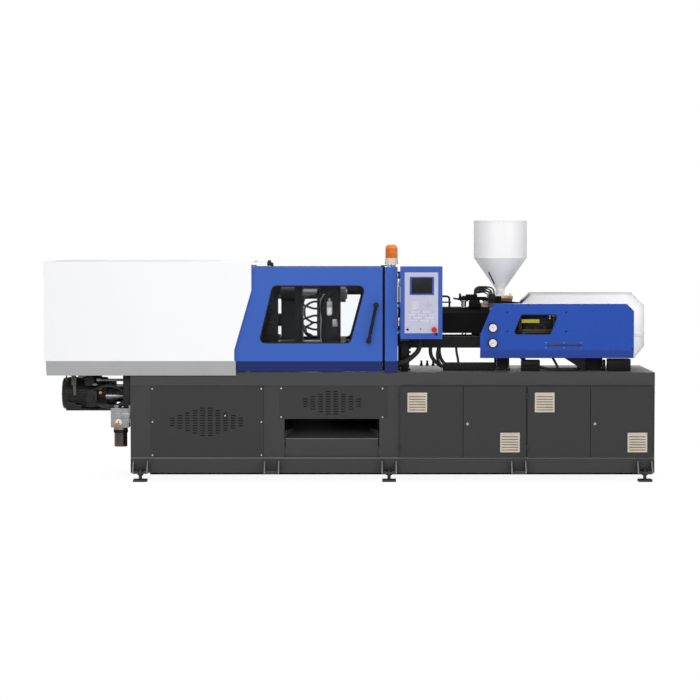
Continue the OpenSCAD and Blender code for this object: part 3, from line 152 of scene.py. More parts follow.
for name, at, size, power in (
    ("front_lamp", (-2.5, -9.0, 5.0), (7.0, 4.5), 370),
    ("side_lamp", (6.5, -7.0, 4.0), (4.5, 4.0), 150),
    ("top_lamp", (0.0, 0.5, 7.5), (8.0, 5.0), 205),
    ("back_lamp", (1.5, 8.5, 4.5), (7.0, 4.0), 215),
):
    lamp = bpy.data.lights.new(name, "AREA")
    lamp.shape = "RECTANGLE"
    lamp.size, lamp.size_y = size
    lamp.energy = power
    lamp_object = placed(name, lamp)
    lamp_object.location = at
    lamp_object.rotation_euler = (lamps_aim - Vector(at)).to_track_quat("-Z", "Y").to_euler()

camera_data = bpy.data.cameras.new("operator_side")
camera_data.lens = 125.8
camera_data.sensor_width = 36
camera_data.clip_end = 200
camera_aim = Vector((-0.375, -0.58, 1.155))
camera = placed("operator_side", camera_data)
camera.location = (camera_aim.x, -22.08, 2.203)
camera.rotation_euler = (camera_aim - camera.location).to_track_quat("-Z", "Y").to_euler()
scene.camera = camera


# Hoses and cables: black rubber and ribbed plastic conduit, each a whole length between two fittings.
# They hang in a bow from where they leave the machine to where they enter it again.
def noise_from(tree, scale, detail=3.0, stretch=(1, 1, 1)):
    turn = added(tree, "Mapping", {"Scale": stretch})
    grain = added(tree, "TexNoise", {"Scale": scale, "Detail": detail})
    joined(tree, (added(tree, "TexCoord").outputs["Object"], turn.inputs["Vector"]),
           (turn.outputs["Vector"], grain.inputs["Vector"]))
    return grain.outputs["Fac"]


def spread(tree, value, low, high, start=0.3, end=0.7):
    scale = added(tree, "MapRange", {"From Min": start, "From Max": end, "To Min": low, "To Max": high})
    tree.links.new(value, scale.inputs["Value"])
    return scale.outputs["Result"]


def two_tone(tree, mask, first, second):
    blend = added(tree, "Mix")
    blend.data_type = "RGBA"
    for label, colour in (("A", first), ("B", second)):
        if isinstance(colour, tuple):
            blend.inputs[label].default_value = (*colour, 1)
        else:
            tree.links.new(colour, blend.inputs[label])
    tree.links.new(mask, blend.inputs["Factor"])
    return blend.outputs["Result"]


def raised(tree, height, depth, strength=0.5):
    bump = added(tree, "Bump", {"Distance": depth, "Strength": strength})
    tree.links.new(height, bump.inputs["Height"])
    return bump.outputs["Normal"]


def surface_from(tree, shader, colour, roughness, normal=None):
    joined(tree, (colour, shader.inputs["Base Color"]), (roughness, shader.inputs["Roughness"]))
    if normal:
        tree.links.new(normal, shader.inputs["Normal"])


def rubber(name, dark, pale, specular=0.35):
    material, tree, shader = new_material(name)
    tint = two_tone(tree, spread(tree, noise_from(tree, 30), 0, 1), dark, pale)
    gloss = spread(tree, noise_from(tree, 90, 5), 0.4, 0.62)
    surface_from(tree, shader, tint, gloss, raised(tree, noise_from(tree, 900, 2), 0.0004))
    set_on(shader, {"Specular IOR Level": specular})
    return material


hose_rubber = rubber("hose_rubber", (0.010, 0.010, 0.011), (0.022, 0.022, 0.023))
conduit_plastic = rubber("conduit_plastic", (0.010, 0.010, 0.011), (0.018, 0.018, 0.019), 0.2)


def smooth_route(points, step):
    points = [Vector(p) for p in points]
    points = [2 * points[0] - points[1], *points, 2 * points[-1] - points[-2]]
    route = []
    for a, b, c, d in zip(points, points[1:], points[2:], points[3:]):
        count = max(1, round((c - b).length / step))
        for i in range(count):
            t = i / count
            route.append(0.5 * (2 * b + (c - a) * t + (2 * a - 5 * b + 4 * c - d) * t * t
                                + (3 * b - a - 3 * c + d) * t ** 3))
    return [*route, points[-2]]


def tube(name, route, radius, round_steps, material, rib=0.0):
    curve = bpy.data.curves.new(name, "CURVE")
    curve.dimensions = "3D"
    curve.bevel_depth = radius
    curve.bevel_resolution = round_steps
    curve.use_fill_caps = True
    spline = curve.splines.new("POLY")
    spline.points.add(len(route) - 1)
    for i, (knot, at) in enumerate(zip(spline.points, route)):
        knot.co = (*at, 1)
        knot.radius = 1 - rib * (i % 2)
    spline.use_smooth = True
    curve.materials.append(material)
    return placed(name, curve)


def hose(name, points, radius, body, material, rib=0.0, step=0.012):
    route = smooth_route(points, step)
    piece = tube(name, route, radius, 6, material, rib)
    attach(piece, body)
    return piece


conduit = hose("panel_conduit_ribbed", [
    (0.0430, -0.545, 1.332), (0.080, -0.545, 1.332), (0.125, -0.545, 1.335), (0.170, -0.545, 1.328),
    (0.208, -0.545, 1.305), (0.232, -0.545, 1.268), (0.241, -0.545, 1.225), (0.237, -0.545, 1.180),
    (0.220, -0.545, 1.140), (0.190, -0.545, 1.108), (0.155, -0.545, 1.078), (0.120, -0.545, 1.055),
    (0.088, -0.545, 1.043), (0.064, -0.545, 1.040), (0.0430, -0.545, 1.040),
], 0.023, "root", conduit_plastic, rib=0.13, step=0.006)
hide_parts("panel_conduit")
supply_hose = hose("barrel_hose_rubber", [
    (0.425, -0.190, 1.158), (0.425, -0.190, 1.125), (0.430, -0.191, 1.090), (0.441, -0.193, 1.057),
    (0.459, -0.197, 1.029), (0.483, -0.202, 1.008), (0.512, -0.208, 0.996), (0.544, -0.214, 0.991),
    (0.575, -0.219, 0.991), (0.600, -0.222, 0.986), (0.614, -0.225, 0.977), (0.618, -0.225, 0.966),
    (0.618, -0.225, 0.9573),
], 0.015, "root", hose_rubber, step=0.01)
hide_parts("barrel_hose")


# The welded base: folded steel skids, posts and U brackets, sprayed in a dark grey textured enamel.
# The bare edges are rubbed paler by handling, and dust settles on what faces up.
def film_group():
    group = bpy.data.node_groups.new("paint_film", "ShaderNodeTree")
    face = group.interface
    for label in ("Paint", "Rubbed"):
        face.new_socket(name=label, in_out="INPUT", socket_type="NodeSocketColor")
    for label, value in (("Mottle", 0.06), ("Dust", 0.25), ("Wear", 0.5), ("Peel", 500.0), ("Rough", 0.4)):
        face.new_socket(name=label, in_out="INPUT", socket_type="NodeSocketFloat").default_value = value
    for label, kind in (("Color", "Color"), ("Roughness", "Float"), ("Normal", "Vector")):
        face.new_socket(name=label, in_out="OUTPUT", socket_type=f"NodeSocket{kind}")
    given = group.nodes.new("NodeGroupInput").outputs
    out = group.nodes.new("NodeGroupOutput").inputs

    def reckoned(kind, a, b):
        node = added(group, "Math", operation=kind)
        for socket, value in zip(node.inputs, (a, b)):
            if isinstance(value, (int, float)):
                socket.default_value = value
            else:
                group.links.new(value, socket)
        return node.outputs[0]

    cloud = noise_from(group, 2.2, 4)
    smudge = noise_from(group, 9, 5)
    shade = added(group, "HueSaturation")
    mottle = reckoned("MULTIPLY", reckoned("SUBTRACT", cloud, 0.5), given["Mottle"])
    joined(group,
           (given["Paint"], shade.inputs["Color"]),
           (reckoned("ADD", 1.0, mottle), shade.inputs["Value"]))

    facing = added(group, "NewGeometry").outputs["Normal"]
    upward = added(group, "SeparateXYZ")
    group.links.new(facing, upward.inputs[0])
    patches = reckoned("MULTIPLY", spread(group, smudge, 0.2, 1, 0.35, 0.65), given["Dust"])
    settled = reckoned("MULTIPLY", spread(group, upward.outputs["Z"], 0, 1, 0.3, 0.95), patches)
    dusty = two_tone(group, settled, shade.outputs["Color"], (0.33, 0.31, 0.28))

    edge = added(group, "Bevel", {"Radius": 0.0025})
    edge.samples = 4
    turn = added(group, "VectorMath", operation="DOT_PRODUCT")
    joined(group, (edge.outputs["Normal"], turn.inputs[0]), (facing, turn.inputs[1]))
    rim = spread(group, turn.outputs["Value"], 1, 0, 0.80, 0.97)
    rubbed = reckoned("MULTIPLY", rim, spread(group, smudge, 0.1, 1, 0.42, 0.6))
    worn = two_tone(group, reckoned("MULTIPLY", rubbed, given["Wear"]), dusty, given["Rubbed"])

    grain = added(group, "TexNoise")
    bump = added(group, "Bump", {"Distance": 0.0003, "Strength": 0.35})
    sheen = reckoned("MULTIPLY", reckoned("SUBTRACT", smudge, 0.5), 0.09)
    matt = reckoned("ADD", sheen, reckoned("MULTIPLY", settled, 0.4))
    joined(group,
           (added(group, "TexCoord").outputs["Object"], grain.inputs["Vector"]),
           (given["Peel"], grain.inputs["Scale"]),
           (grain.outputs["Fac"], bump.inputs["Height"]),
           (edge.outputs["Normal"], bump.inputs["Normal"]),
           (worn, out["Color"]),
           (reckoned("ADD", given["Rough"], matt), out["Roughness"]),
           (bump.outputs["Normal"], out["Normal"]))
    return group


paint_film = film_group()


def painted(name, colour, rubbed, rough=0.4, dust=0.25, wear=0.5, peel=500.0, mottle=0.06, specular=0.3):
    material, tree, shader = new_material(name)
    film = tree.nodes.new("ShaderNodeGroup")
    film.node_tree = paint_film
    set_on(film, {"Paint": (*colour, 1), "Rubbed": (*rubbed, 1), "Mottle": mottle, "Dust": dust, "Wear": wear,
                  "Peel": peel, "Rough": rough})
    surface_from(tree, shader, *(film.outputs[label] for label in ("Color", "Roughness", "Normal")))
    set_on(shader, {"Specular IOR Level": specular})
    return material


def dress(material, *names):
    for name in names:
        finish = nodes[name].data.materials
        finish.clear()
        finish.append(material)


base_grey = painted("base_grey_enamel", (0.045, 0.045, 0.045), (0.16, 0.16, 0.165), 0.52, peel=700,
                    specular=0.22)
deck_enamel = painted("deck_grey_enamel", (0.054, 0.054, 0.055), (0.18, 0.18, 0.185), 0.5, peel=700,
                      specular=0.22)
chute_grey = painted("chute_grey_enamel", (0.048, 0.048, 0.049), (0.14, 0.14, 0.145), 0.5, dust=0.05,
                     wear=0.8, specular=0.2)
panel_grey = painted("panel_grey_enamel", (0.037, 0.037, 0.037), (0.13, 0.13, 0.135), 0.52, peel=700,
                     specular=0.2)
dress(base_grey, "base_frame")
dress(panel_grey, "base_panels")
dress(deck_enamel, "deck_frame")
dress(chute_grey, "drop_chute")


# Dome-headed zinc screws hold the panels, two courses of them down each edge.
# Heads are cold formed, washer and all, and sit flat on the sheet.
def turned_in(bm, profile, origin, axis=(0, 0, 1), steps=24):
    aim = Vector(axis).to_track_quat("Z", "Y").to_matrix().to_4x4()
    place = Matrix.Translation(Vector(origin)) @ aim
    knots = [bm.verts.new(place @ Vector((radius, 0, along))) for radius, along in profile]
    chain = [bm.edges.new(pair) for pair in zip(knots, knots[1:])]
    bmesh.ops.spin(bm, geom=[*knots, *chain], cent=place.translation, axis=aim @ Vector((0, 0, 1)),
                   angle=2 * math.pi, steps=steps, use_merge=True, use_duplicate=False)


def piece_of(bm, name, material, body, smooth=38):
    bmesh.ops.remove_doubles(bm, verts=bm.verts, dist=1e-6)
    bmesh.ops.recalc_face_normals(bm, faces=bm.faces)
    data = bpy.data.meshes.new(name)
    bm.to_mesh(data)
    bm.free()
    data.materials.append(material)
    data.polygons.foreach_set("use_smooth", [True] * len(data.polygons))
    data.set_sharp_from_angle(angle=math.radians(smooth))
    piece = placed(name, data)
    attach(piece, body)
    return piece


def metal(name, colour, stain, rough=(0.22, 0.4), grain=60, stretch=(1, 1, 1), depth=0.0001):
    material, tree, shader = new_material(name)
    streaks = noise_from(tree, grain, 4, stretch)
    tint = two_tone(tree, spread(tree, noise_from(tree, 7, 5), 0, 1, 0.35, 0.7), colour, stain)
    surface_from(tree, shader, tint, spread(tree, streaks, *rough), raised(tree, streaks, depth))
    set_on(shader, {"Metallic": 1.0})
    return material


def dome_screw(bm, x, y, z, radius=0.0075, axis=(0, -1, 0)):
    turned_in(bm, [(0, 0.0034), (radius * 0.3, 0.0034), (radius * 0.62, 0.0028), (radius * 0.9, 0.0014),
                   (radius, 0.0002), (radius, -0.0004), (0, -0.0004)], (x, y, z), axis, 14)


zinc = metal("zinc_screws", (0.72, 0.72, 0.73), (0.55, 0.54, 0.52), (0.3, 0.5))
panel_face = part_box("base_panels")[1].y
clamp_end_sheet = [(x, z) for x in (-2.117, -1.156) for z in (0.226, 0.520, 0.812)] + [(-1.476, 0.575)]
chute_sheet = [(x, z) for x in (-0.982, -0.088) for z in (0.563, 0.815)]
rear_sheets = [(x, z) for x in (0.106, 0.640, 1.156, 1.206, 1.730, 2.246) for z in (0.226, 0.820)]
screws = bmesh.new()
for side, places in ((-1, clamp_end_sheet + chute_sheet), (1, clamp_end_sheet + chute_sheet + rear_sheets)):
    for x, z in places:
        dome_screw(screws, x, side * panel_face, z, axis=(0, side, 0))
piece_of(screws, "panel_screws", zinc, "root")


# Each louvre has a slim lip pressed out of the sheet above its slot; a black sheet behind the panel is
# painted shade that darkens the slots.
# They are struck one by one on a punch press, in columns that make a diamond.
def across(side, near, far):
    return sorted((side * near, side * far))


def about(middle, half):
    return middle - half, middle + half


def box_in(bm, x, y, z, round_off=0.0015, steps=2):
    size = Vector((x[1] - x[0], y[1] - y[0], z[1] - z[0]))
    middle = Vector((x[0] + x[1], y[0] + y[1], z[0] + z[1])) / 2
    new = bmesh.ops.create_cube(bm, size=1, matrix=Matrix.Translation(middle) @ Matrix.Diagonal((*size, 1)))
    corners = new["verts"]
    if round_off:
        edges = list({edge for corner in corners for edge in corner.link_edges})
        made = bmesh.ops.bevel(bm, geom=edges, offset=min(round_off, min(size) * 0.45), segments=steps,
                               profile=0.5, affect="EDGES", material=-1)
        corners = made["verts"]
    return corners


hood_y = 0.5800
hood_size = (0.044, 0.0026, 0.0034)
column_pitch, row_pitch, hood_rise = 0.067, 0.022, 0.0056
hoods = bmesh.new()
for side in (-1, 1):
    for middle_x, middle_z, columns in ((-1.64025, 0.521, 10), (-0.53425, 0.689, 8)):
        for i in range(columns):
            rows = 2 * min(i, columns - 1 - i) + 4
            for k in range(rows):
                x = middle_x + (i - (columns - 1) / 2) * column_pitch
                z = middle_z + (k - (rows - 1) / 2) * row_pitch + hood_rise
                place = Matrix.Translation((x, side * hood_y, z)) @ Matrix.Diagonal((*hood_size, 1))
                for corner in bmesh.ops.create_cube(hoods, size=1, matrix=place)["verts"]:
                    if side * corner.co.y > hood_y:
                        corner.co.x = x + (corner.co.x - x) * 0.88
                        if corner.co.z > z:
                            corner.co.z -= 0.0018
piece_of(hoods, "louvre_hoods", panel_grey, "root")
felt_and_shade_black = rubber("felt_and_shade_black", (0.0030, 0.0030, 0.0032), (0.0055, 0.0055, 0.0058), 0.05)
# Painted shade: black sheets just behind the louvre fields, so that the slots look dark.
louvre_shade = bmesh.new()
for side in (-1, 1):
    for x, z in (((-1.99, -1.28), (0.34, 0.70)), ((-0.82, -0.25), (0.56, 0.81))):
        box_in(louvre_shade, x, across(side, 0.5700, 0.5748), z, 0)
piece_of(louvre_shade, "louvre_painted_shade", felt_and_shade_black, "root")

# Pale strips on the skid's upper arris, the U brackets and the lip of the chute are painted highlights, where
# these edges catch the light.
# A black strip along the skid's foot, front and rear, is painted shade under the skid.
edge_highlight = painted("painted_edge_highlight", (0.20, 0.20, 0.205), (0.34, 0.34, 0.345), 0.42, dust=0.1, wear=0.3,
                    mottle=0.5)
bracket_foot, bracket_bend, bracket_top = 0.073, 0.1150, 0.1780
bracket_lean = 65 / 63
half_lip, half_rib, rib_out = 0.054, 0.006, 0.062
edges = bmesh.new()
for side in (-1, 1):
    box_in(edges, (-2.3095, 2.3095), across(side, 0.5825, 0.5842), (0.1985, 0.2056), 0.0008, 1)
    for middle_x in (-2.220, -1.065, -0.031, 1.110, 2.220):
        box_in(edges, about(middle_x, half_lip), across(side, 0.590, 0.630), (0.0848, 0.0858), 0)
        for rib_x in about(middle_x, rib_out):
            rib = about(rib_x, half_rib)
            box_in(edges, rib, across(side, 0.6745, 0.6760), (bracket_foot, bracket_bend), 0.0005, 1)
            slope = box_in(edges, rib, across(side, 0.6750, 0.6765), (bracket_bend, bracket_top), 0.0005, 1)
            for corner in slope:
                corner.co.y -= side * (corner.co.z - bracket_bend) * bracket_lean
chute_low, chute_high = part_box("drop_chute")
chute_lip = (chute_low.y - 0.0012, chute_low.y + 0.0010)
box_in(edges, (chute_low.x, chute_high.x), chute_lip, (0.3690, 0.3740), 0.0008, 1)
piece_of(edges, "painted_highlight_edges", edge_highlight, "root")
# Painted shade: the dark band under the skid.
skid_shade = bmesh.new()
for side in (-1, 1):
    box_in(skid_shade, (-2.140, 2.290), across(side, 0.5500, 0.5740), (0.0550, 0.0702), 0.002, 2)
piece_of(skid_shade, "skid_painted_shade", felt_and_shade_black, "root")

# Levelling feet: ribbed cast pads, each on a threaded stud that is turned with a spanner and locked by a nut.
# They are zinc plated and take the machine's weight on the shop floor.
foot_zinc = metal("foot_zinc", (0.050, 0.050, 0.053), (0.075, 0.070, 0.062), (0.35, 0.6), 40)
dress(foot_zinc, "levelling_feet")


# Cabinet doors: folded sheet with a return edge, hung on lift-off hinges, in the base's grey enamel.
# Each has a cream plastic fan filter, clipped into a square cut-out, with slanted slats against splashes.
def moulded(name, colour, other, rough=(0.35, 0.5), grain=420, depth=0.0002, specular=0.4):
    material, tree, shader = new_material(name)
    tint = two_tone(tree, spread(tree, noise_from(tree, 12, 5), 0, 1), colour, other)
    gloss = spread(tree, noise_from(tree, 60, 4), *rough)
    surface_from(tree, shader, tint, gloss, raised(tree, noise_from(tree, grain, 3), depth))
    set_on(shader, {"Specular IOR Level": specular})
    return material


def sunk_front(bm, rim, depth):
    front = max((face for face in bm.faces if face.normal.y < -0.9), key=lambda face: face.calc_area())
    bmesh.ops.inset_region(bm, faces=[front], thickness=rim, use_even_offset=True)
    bmesh.ops.translate(bm, verts=front.verts, vec=(0, depth, 0))


door_grey = painted("door_grey_enamel", (0.036, 0.036, 0.036), (0.17, 0.17, 0.175), 0.5, peel=800,
                    specular=0.22)
dress(door_grey, *(f"cabinet_door_{number}" for number in range(1, 5)))
filter_cream = moulded("filter_cream", (0.62, 0.55, 0.46), (0.54, 0.47, 0.39))
filter_shade = moulded("filter_shade", (0.20, 0.165, 0.125), (0.15, 0.125, 0.095))
door_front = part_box("cabinet_door_1")[0].y
half_filter, half_slat, half_band = 0.087, 0.0735, 0.0732
slat_pitch, slat_lean = 0.0234, 0.0034
for number, x, z in ((1, 0.217, 0.694), (2, 1.034, 0.340), (3, 1.338, 0.694), (4, 2.156, 0.340)):
    grille = bmesh.new()
    box_in(grille, about(x, half_filter), (door_front, -0.5972), about(z, half_filter), 0.004, 3)
    sunk_front(grille, 0.012, 0.0055)
    # Painted shade: dark bands in the gaps between the slats.
    shade_bands = bmesh.new()
    for row in range(6):
        low = z - 0.070 + row * slat_pitch
        slat_z = (low + 0.0085, low + 0.0225)
        for corner in box_in(grille, about(x, half_slat), (-0.6035, -0.6018), slat_z, 0.0006, 1):
            corner.co.y -= slat_lean * (1 - (corner.co.z - low) / slat_pitch)
        box_in(shade_bands, about(x, half_band), (-0.6026, -0.6012), (low, low + 0.0082), 0.0003, 1)
    piece_of(grille, f"filter_grille_{number}", filter_cream, f"door_{number}")
    piece_of(shade_bands, f"filter_shade_bands_{number}", filter_shade, f"door_{number}")

# Quarter-turn latches: a black zinc handle plate with a plated barrel lock in it, closed by a square key.
# They sit near the free edges of the second and fourth doors.
latch_black = moulded("latch_black", (0.006, 0.006, 0.007), (0.010, 0.010, 0.010), specular=0.2)
dress(latch_black, "door_latch_1", "door_latch_2")
plated = metal("plated_locks", (0.62, 0.62, 0.63), (0.5, 0.49, 0.47), (0.12, 0.28))
for number, x in ((1, 0.659), (2, 1.781)):
    low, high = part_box(f"door_latch_{number}")
    lock = bmesh.new()
    turned_in(lock, [(0, -0.004), (0.0035, -0.004), (0.0035, 0.0022), (0.0105, 0.0022), (0.0122, 0.0008),
                     (0.0125, -0.0009), (0, -0.0009)], (x, low.y, (low.z + high.z) / 2), (0, -1, 0), 20)
    piece_of(lock, f"latch_lock_{number}", plated, f"latch_{number}")

# Electrical gear behind the doors: drives, contactors and relays in beige moulded cases on a mounting plate.
# The oil tank under the clamp is welded sheet with a plain grey coat inside and out.
relay_beige = moulded("relay_beige", (0.42, 0.39, 0.32), (0.36, 0.33, 0.27))
tank_coat = painted("tank_coat", (0.11, 0.12, 0.135), (0.2, 0.2, 0.21), 0.42, dust=0.5)
dress(relay_beige, "switchgear")
dress(tank_coat, "oil_tank")


# Oil pump and its motor, hung on the clamp end below the cover: cast iron with cooling fins and a fan cowl.
# Steel pipe, plated fittings and an amber sight glass join it to the tank.
def rod_in(bm, start, end, radius, tip=None, sides=24):
    start, end = Vector(start), Vector(end)
    way = end - start
    turn = way.to_track_quat("Z", "Y").to_matrix().to_4x4()
    return bmesh.ops.create_cone(bm, cap_ends=True, segments=sides, radius1=radius,
                                 radius2=radius if tip is None else tip, depth=way.length,
                                 matrix=Matrix.Translation((start + end) / 2) @ turn)["verts"]


def set_round(bm, verts, centre, turn, axis):
    bmesh.ops.transform(bm, matrix=Matrix.Translation(centre) @ Matrix.Rotation(turn, 4, axis), verts=verts)


def cap_in(bm, at, axis, top, radius, height, shoulder, foot=0.0, steps=20):
    profile = [(0, height), (top, height), (radius, shoulder), (radius, foot), (0, foot)]
    turned_in(bm, profile, at, axis, steps)


motor_black = painted("motor_black", (0.010, 0.010, 0.011), (0.09, 0.09, 0.095), 0.45, dust=0.2, wear=0.35)
dress(motor_black, "pump_motor")
motor_axis = (0, -0.2, 0.75)
fin_count, blade_count = 32, 12
fins = bmesh.new()
for i in range(fin_count):
    turn = i * 2 * math.pi / fin_count
    if math.cos(turn) >= -0.93:
        fin = box_in(fins, (-2.895, -2.548), (-0.0025, 0.0025), (0.132, 0.146), 0.001, 1)
        set_round(fins, fin, motor_axis, turn, "X")
piece_of(fins, "motor_fins", motor_black, "root")
cowl = bmesh.new()
turned_in(cowl, [(0.137, -2.885), (0.1405, -2.885), (0.1405, -2.925), (0.134, -2.938), (0.118, -2.944),
                 (0.114, -2.940), (0.02, -2.940), (0.016, -2.944), (0, -2.944)], motor_axis, (1, 0, 0), 40)
for i in range(blade_count):
    blade = box_in(cowl, (-2.9455, -2.9405), (-0.004, 0.004), (0.018, 0.116), 0.001, 1)
    set_round(cowl, blade, motor_axis, i * 2 * math.pi / blade_count, "X")
for z in (0.69, 0.81):
    for y in (-0.275, -0.125):
        rod_in(cowl, (-2.335, y, z), (-2.352, y, z), 0.012, sides=6)
piece_of(cowl, "motor_cowl", motor_black, "root")

bracket_olive = painted("bracket_olive", (0.085, 0.09, 0.07), (0.3, 0.3, 0.24), 0.45)
strap_x, strap_y, strap_top, taper_from = (-2.843, -2.800), (-0.452, -0.446), 0.935, 0.78
strap = bmesh.new()
box_in(strap, strap_x, strap_y, (0.838, strap_top))
for corner in box_in(strap, (-2.830, -2.806), strap_y, (0.748, 0.842)):
    if corner.co.z < taper_from:
        corner.co.x += (taper_from - corner.co.z) * 0.2
box_in(strap, strap_x, (-0.600, strap_y[1]), (0.929, strap_top))
box_in(strap, (-2.892, -2.878), strap_y, (0.886, strap_top))
box_in(strap, (-2.892, strap_x[1]), (strap_y[0], -0.440), (0.925, strap_top))
for z in (0.915, 0.875):
    cap_in(strap, (-2.822, strap_y[0], z), (0, -1, 0), 0.008, 0.009, 0.007, 0.005, -0.001, 12)
piece_of(strap, "cover_strap", bracket_olive, "root")

pipe_steel = metal("pipe_steel", (0.28, 0.28, 0.29), (0.18, 0.18, 0.18), (0.2, 0.4), 50, (0.2, 1, 1))
tank_side = -2.311
upper_pipe, lower_pipe, filter_axis = (-0.40, 0.880), (-0.36, 0.826), (-0.405, 0.738)
pipes = bmesh.new()
rod_in(pipes, (-2.600, *upper_pipe), (tank_side, *upper_pipe), 0.012)
rod_in(pipes, (-2.560, *lower_pipe), (tank_side, *lower_pipe), 0.010)
turned_in(pipes, [(0, -2.548), (0.020, -2.548), (0.027, -2.541), (0.027, -2.420), (0.022, -2.412),
                  (0.022, tank_side), (0, tank_side)], (0, *filter_axis), (1, 0, 0), 28)
for x, y, z, radius in (
    (-2.640, -0.38, 0.838, 0.017), (-2.605, *upper_pipe, 0.018), (-2.600, -0.41, 0.806, 0.013),
    (-2.340, *upper_pipe, 0.019), (-2.330, *lower_pipe, 0.016), (-2.328, *filter_axis, 0.030),
    (-2.775, -0.335, 0.905, 0.015), (-2.740, -0.335, 0.915, 0.014),
):
    rod_in(pipes, (x - 0.012, y, z), (x + 0.012, y, z), radius, sides=6)
    neck, (start, end) = radius * 0.7, about(x, 0.020)
    turned_in(pipes, [(0, start), (neck, start), (neck, end), (0, end)], (0, y, z), (1, 0, 0), 18)
piece_of(pipes, "oil_pipes", pipe_steel, "root")

sight_amber = moulded("sight_amber", (0.75, 0.25, 0.02), (0.55, 0.16, 0.01), (0.1, 0.2), 100)
sight = bmesh.new()
cap_in(sight, (-2.588, -0.424, 0.770), (0, -1, 0), 0.010, 0.014, 0.016, 0.012, steps=22)
turned_in(sight, [(0, -0.016), (0.0225, -0.016), (0.0225, 0.012), (0.019, 0.0150), (0, 0.0150)],
          (-2.425, -0.535, 0.494), (0, 0, 1), 26)
piece_of(sight, "amber_caps", sight_amber, "root")

valves = bmesh.new()
box_in(valves, (-2.735, -2.640), (-0.345, -0.300), (0.820, 0.925), 0.006, 3)
box_in(valves, (-2.720, -2.620), (-0.395, -0.340), (0.640, 0.790), 0.008, 3)
box_in(valves, (-2.385, tank_side), (-0.470, -0.330), (0.640, 0.930), 0.006, 3)
cap_in(valves, (-2.688, -0.343, 0.868), (0, -1, 0), 0.040, 0.046, 0.045, 0.038, steps=28)
rod_in(valves, (-2.688, -0.30, 0.715), (-2.688, -0.415, 0.715), 0.036)
box_in(valves, (-2.905, -2.765), (-0.330, -0.070), (0.620, 0.652), 0.004, 2)
for corner in box_in(valves, (-2.900, -2.800), (-0.334, -0.300), (0.628, 0.690), 0.004, 2):
    if corner.co.z > 0.66:
        corner.co.z -= (corner.co.x + 2.900) * 0.35
piece_of(valves, "pump_valves", motor_black, "root")
hose("suction_hose", [
    (-2.640, -0.330, 0.690), (-2.632, -0.368, 0.682), (-2.600, -0.405, 0.668), (-2.550, -0.440, 0.655),
    (-2.500, -0.443, 0.648), (-2.450, -0.440, 0.648), (-2.410, -0.432, 0.660), (-2.380, -0.420, 0.684),
    (-2.360, -0.405, 0.712)], 0.021, "root", hose_rubber)
hose("return_hose", [
    (-2.660, -0.338, 0.770), (-2.652, -0.372, 0.780), (-2.620, -0.412, 0.802), (-2.575, -0.440, 0.822),
    (-2.525, -0.448, 0.830), (-2.470, -0.448, 0.826), (-2.420, -0.442, 0.806), (-2.380, -0.430, 0.776),
    (-2.350, -0.415, 0.748)], 0.013, "root", hose_rubber)


# Central lubrication pump: a cast alloy body with a ribbed motor, a white dial gauge and a screwed-on bowl.
# The bowl is smoked plastic, and the red oil shows at its foot.
def row_of_boxes(bm, count, pitch, x, y, z, round_off, steps):
    for i in range(count):
        spans = [[end + i * shift for end in span] for span, shift in zip((x, y, z), pitch)]
        box_in(bm, *spans, round_off, steps)


pump_alloy = metal("pump_alloy", (0.34, 0.34, 0.35), (0.22, 0.21, 0.20), (0.32, 0.55), 120)
dress(pump_alloy, "lube_pump")
ribs = bmesh.new()
row_of_boxes(ribs, 7, (0, 0, 0.024), (-2.4895, -2.405), (-0.529, -0.372), (0.484, 0.494), 0.002, 2)
for x in (-2.385, -2.345):
    for z in (0.500, 0.620):
        rod_in(ribs, (x, -0.526, z), (x, -0.536, z), 0.008, sides=6)
box_in(ribs, (-2.398, -2.318), (-0.534, -0.5245), (0.545, 0.600), 0.004, 3)
piece_of(ribs, "lube_pump_ribs", pump_alloy, "root")
dial_white = moulded("dial_white", (0.82, 0.82, 0.80), (0.76, 0.76, 0.74), (0.3, 0.4))
dial_at = Vector((-2.417, -0.5425, 0.515))
lube_dial = bmesh.new()
turned_in(lube_dial, [(0, 0.0035), (0.023, 0.0035), (0.0235, 0.007), (0.028, 0.007), (0.030, 0.004),
                      (0.030, 0), (0, 0)], dial_at, (0, -1, 0), 32)
piece_of(lube_dial, "lube_dial", dial_white, "root")
needle = bmesh.new()
needle_z = (dial_at.z - 0.004, dial_at.z + 0.016)
box_in(needle, about(dial_at.x, 0.0015), about(dial_at.y - 0.0045, 0.0005), needle_z, 0.0004, 1)
turned_in(needle, [(0, 0.006), (0.004, 0.006), (0.004, 0.003), (0, 0.003)], dial_at, (0, -1, 0), 12)
piece_of(needle, "lube_needle", latch_black, "root")

smoked, tree, shader = new_material("smoked_bowl")
height = added(tree, "SeparateXYZ")
tree.links.new(added(tree, "TexCoord").outputs["Object"], height.inputs[0])
oil_line = spread(tree, height.outputs["Z"], 0, 1, 0.318, 0.326)
tint = two_tone(tree, oil_line, (0.10, 0.008, 0.004), (0.018, 0.016, 0.011))
gloss = spread(tree, noise_from(tree, 40), 0.08, 0.2)
surface_from(tree, shader, tint, gloss, raised(tree, noise_from(tree, 18), 0.001, 0.3))
set_on(shader, {"Coat Weight": 0.6})
dress(smoked, "lube_reservoir")
bowl_axis = (-2.407, -0.450, 0)
grip_count = 24
collar = bmesh.new()
turned_in(collar, [(0.052, 0.446), (0.0605, 0.446), (0.0625, 0.443), (0.0625, 0.420), (0.0605, 0.417),
                   (0.052, 0.417)], bowl_axis, (0, 0, 1), 48)
for i in range(grip_count):
    grip = box_in(collar, (0.0605, 0.0645), (-0.002, 0.002), (0.419, 0.444), 0.0008, 1)
    set_round(collar, grip, bowl_axis, i * 2 * math.pi / grip_count, "Z")
piece_of(collar, "bowl_collar", latch_black, "root")
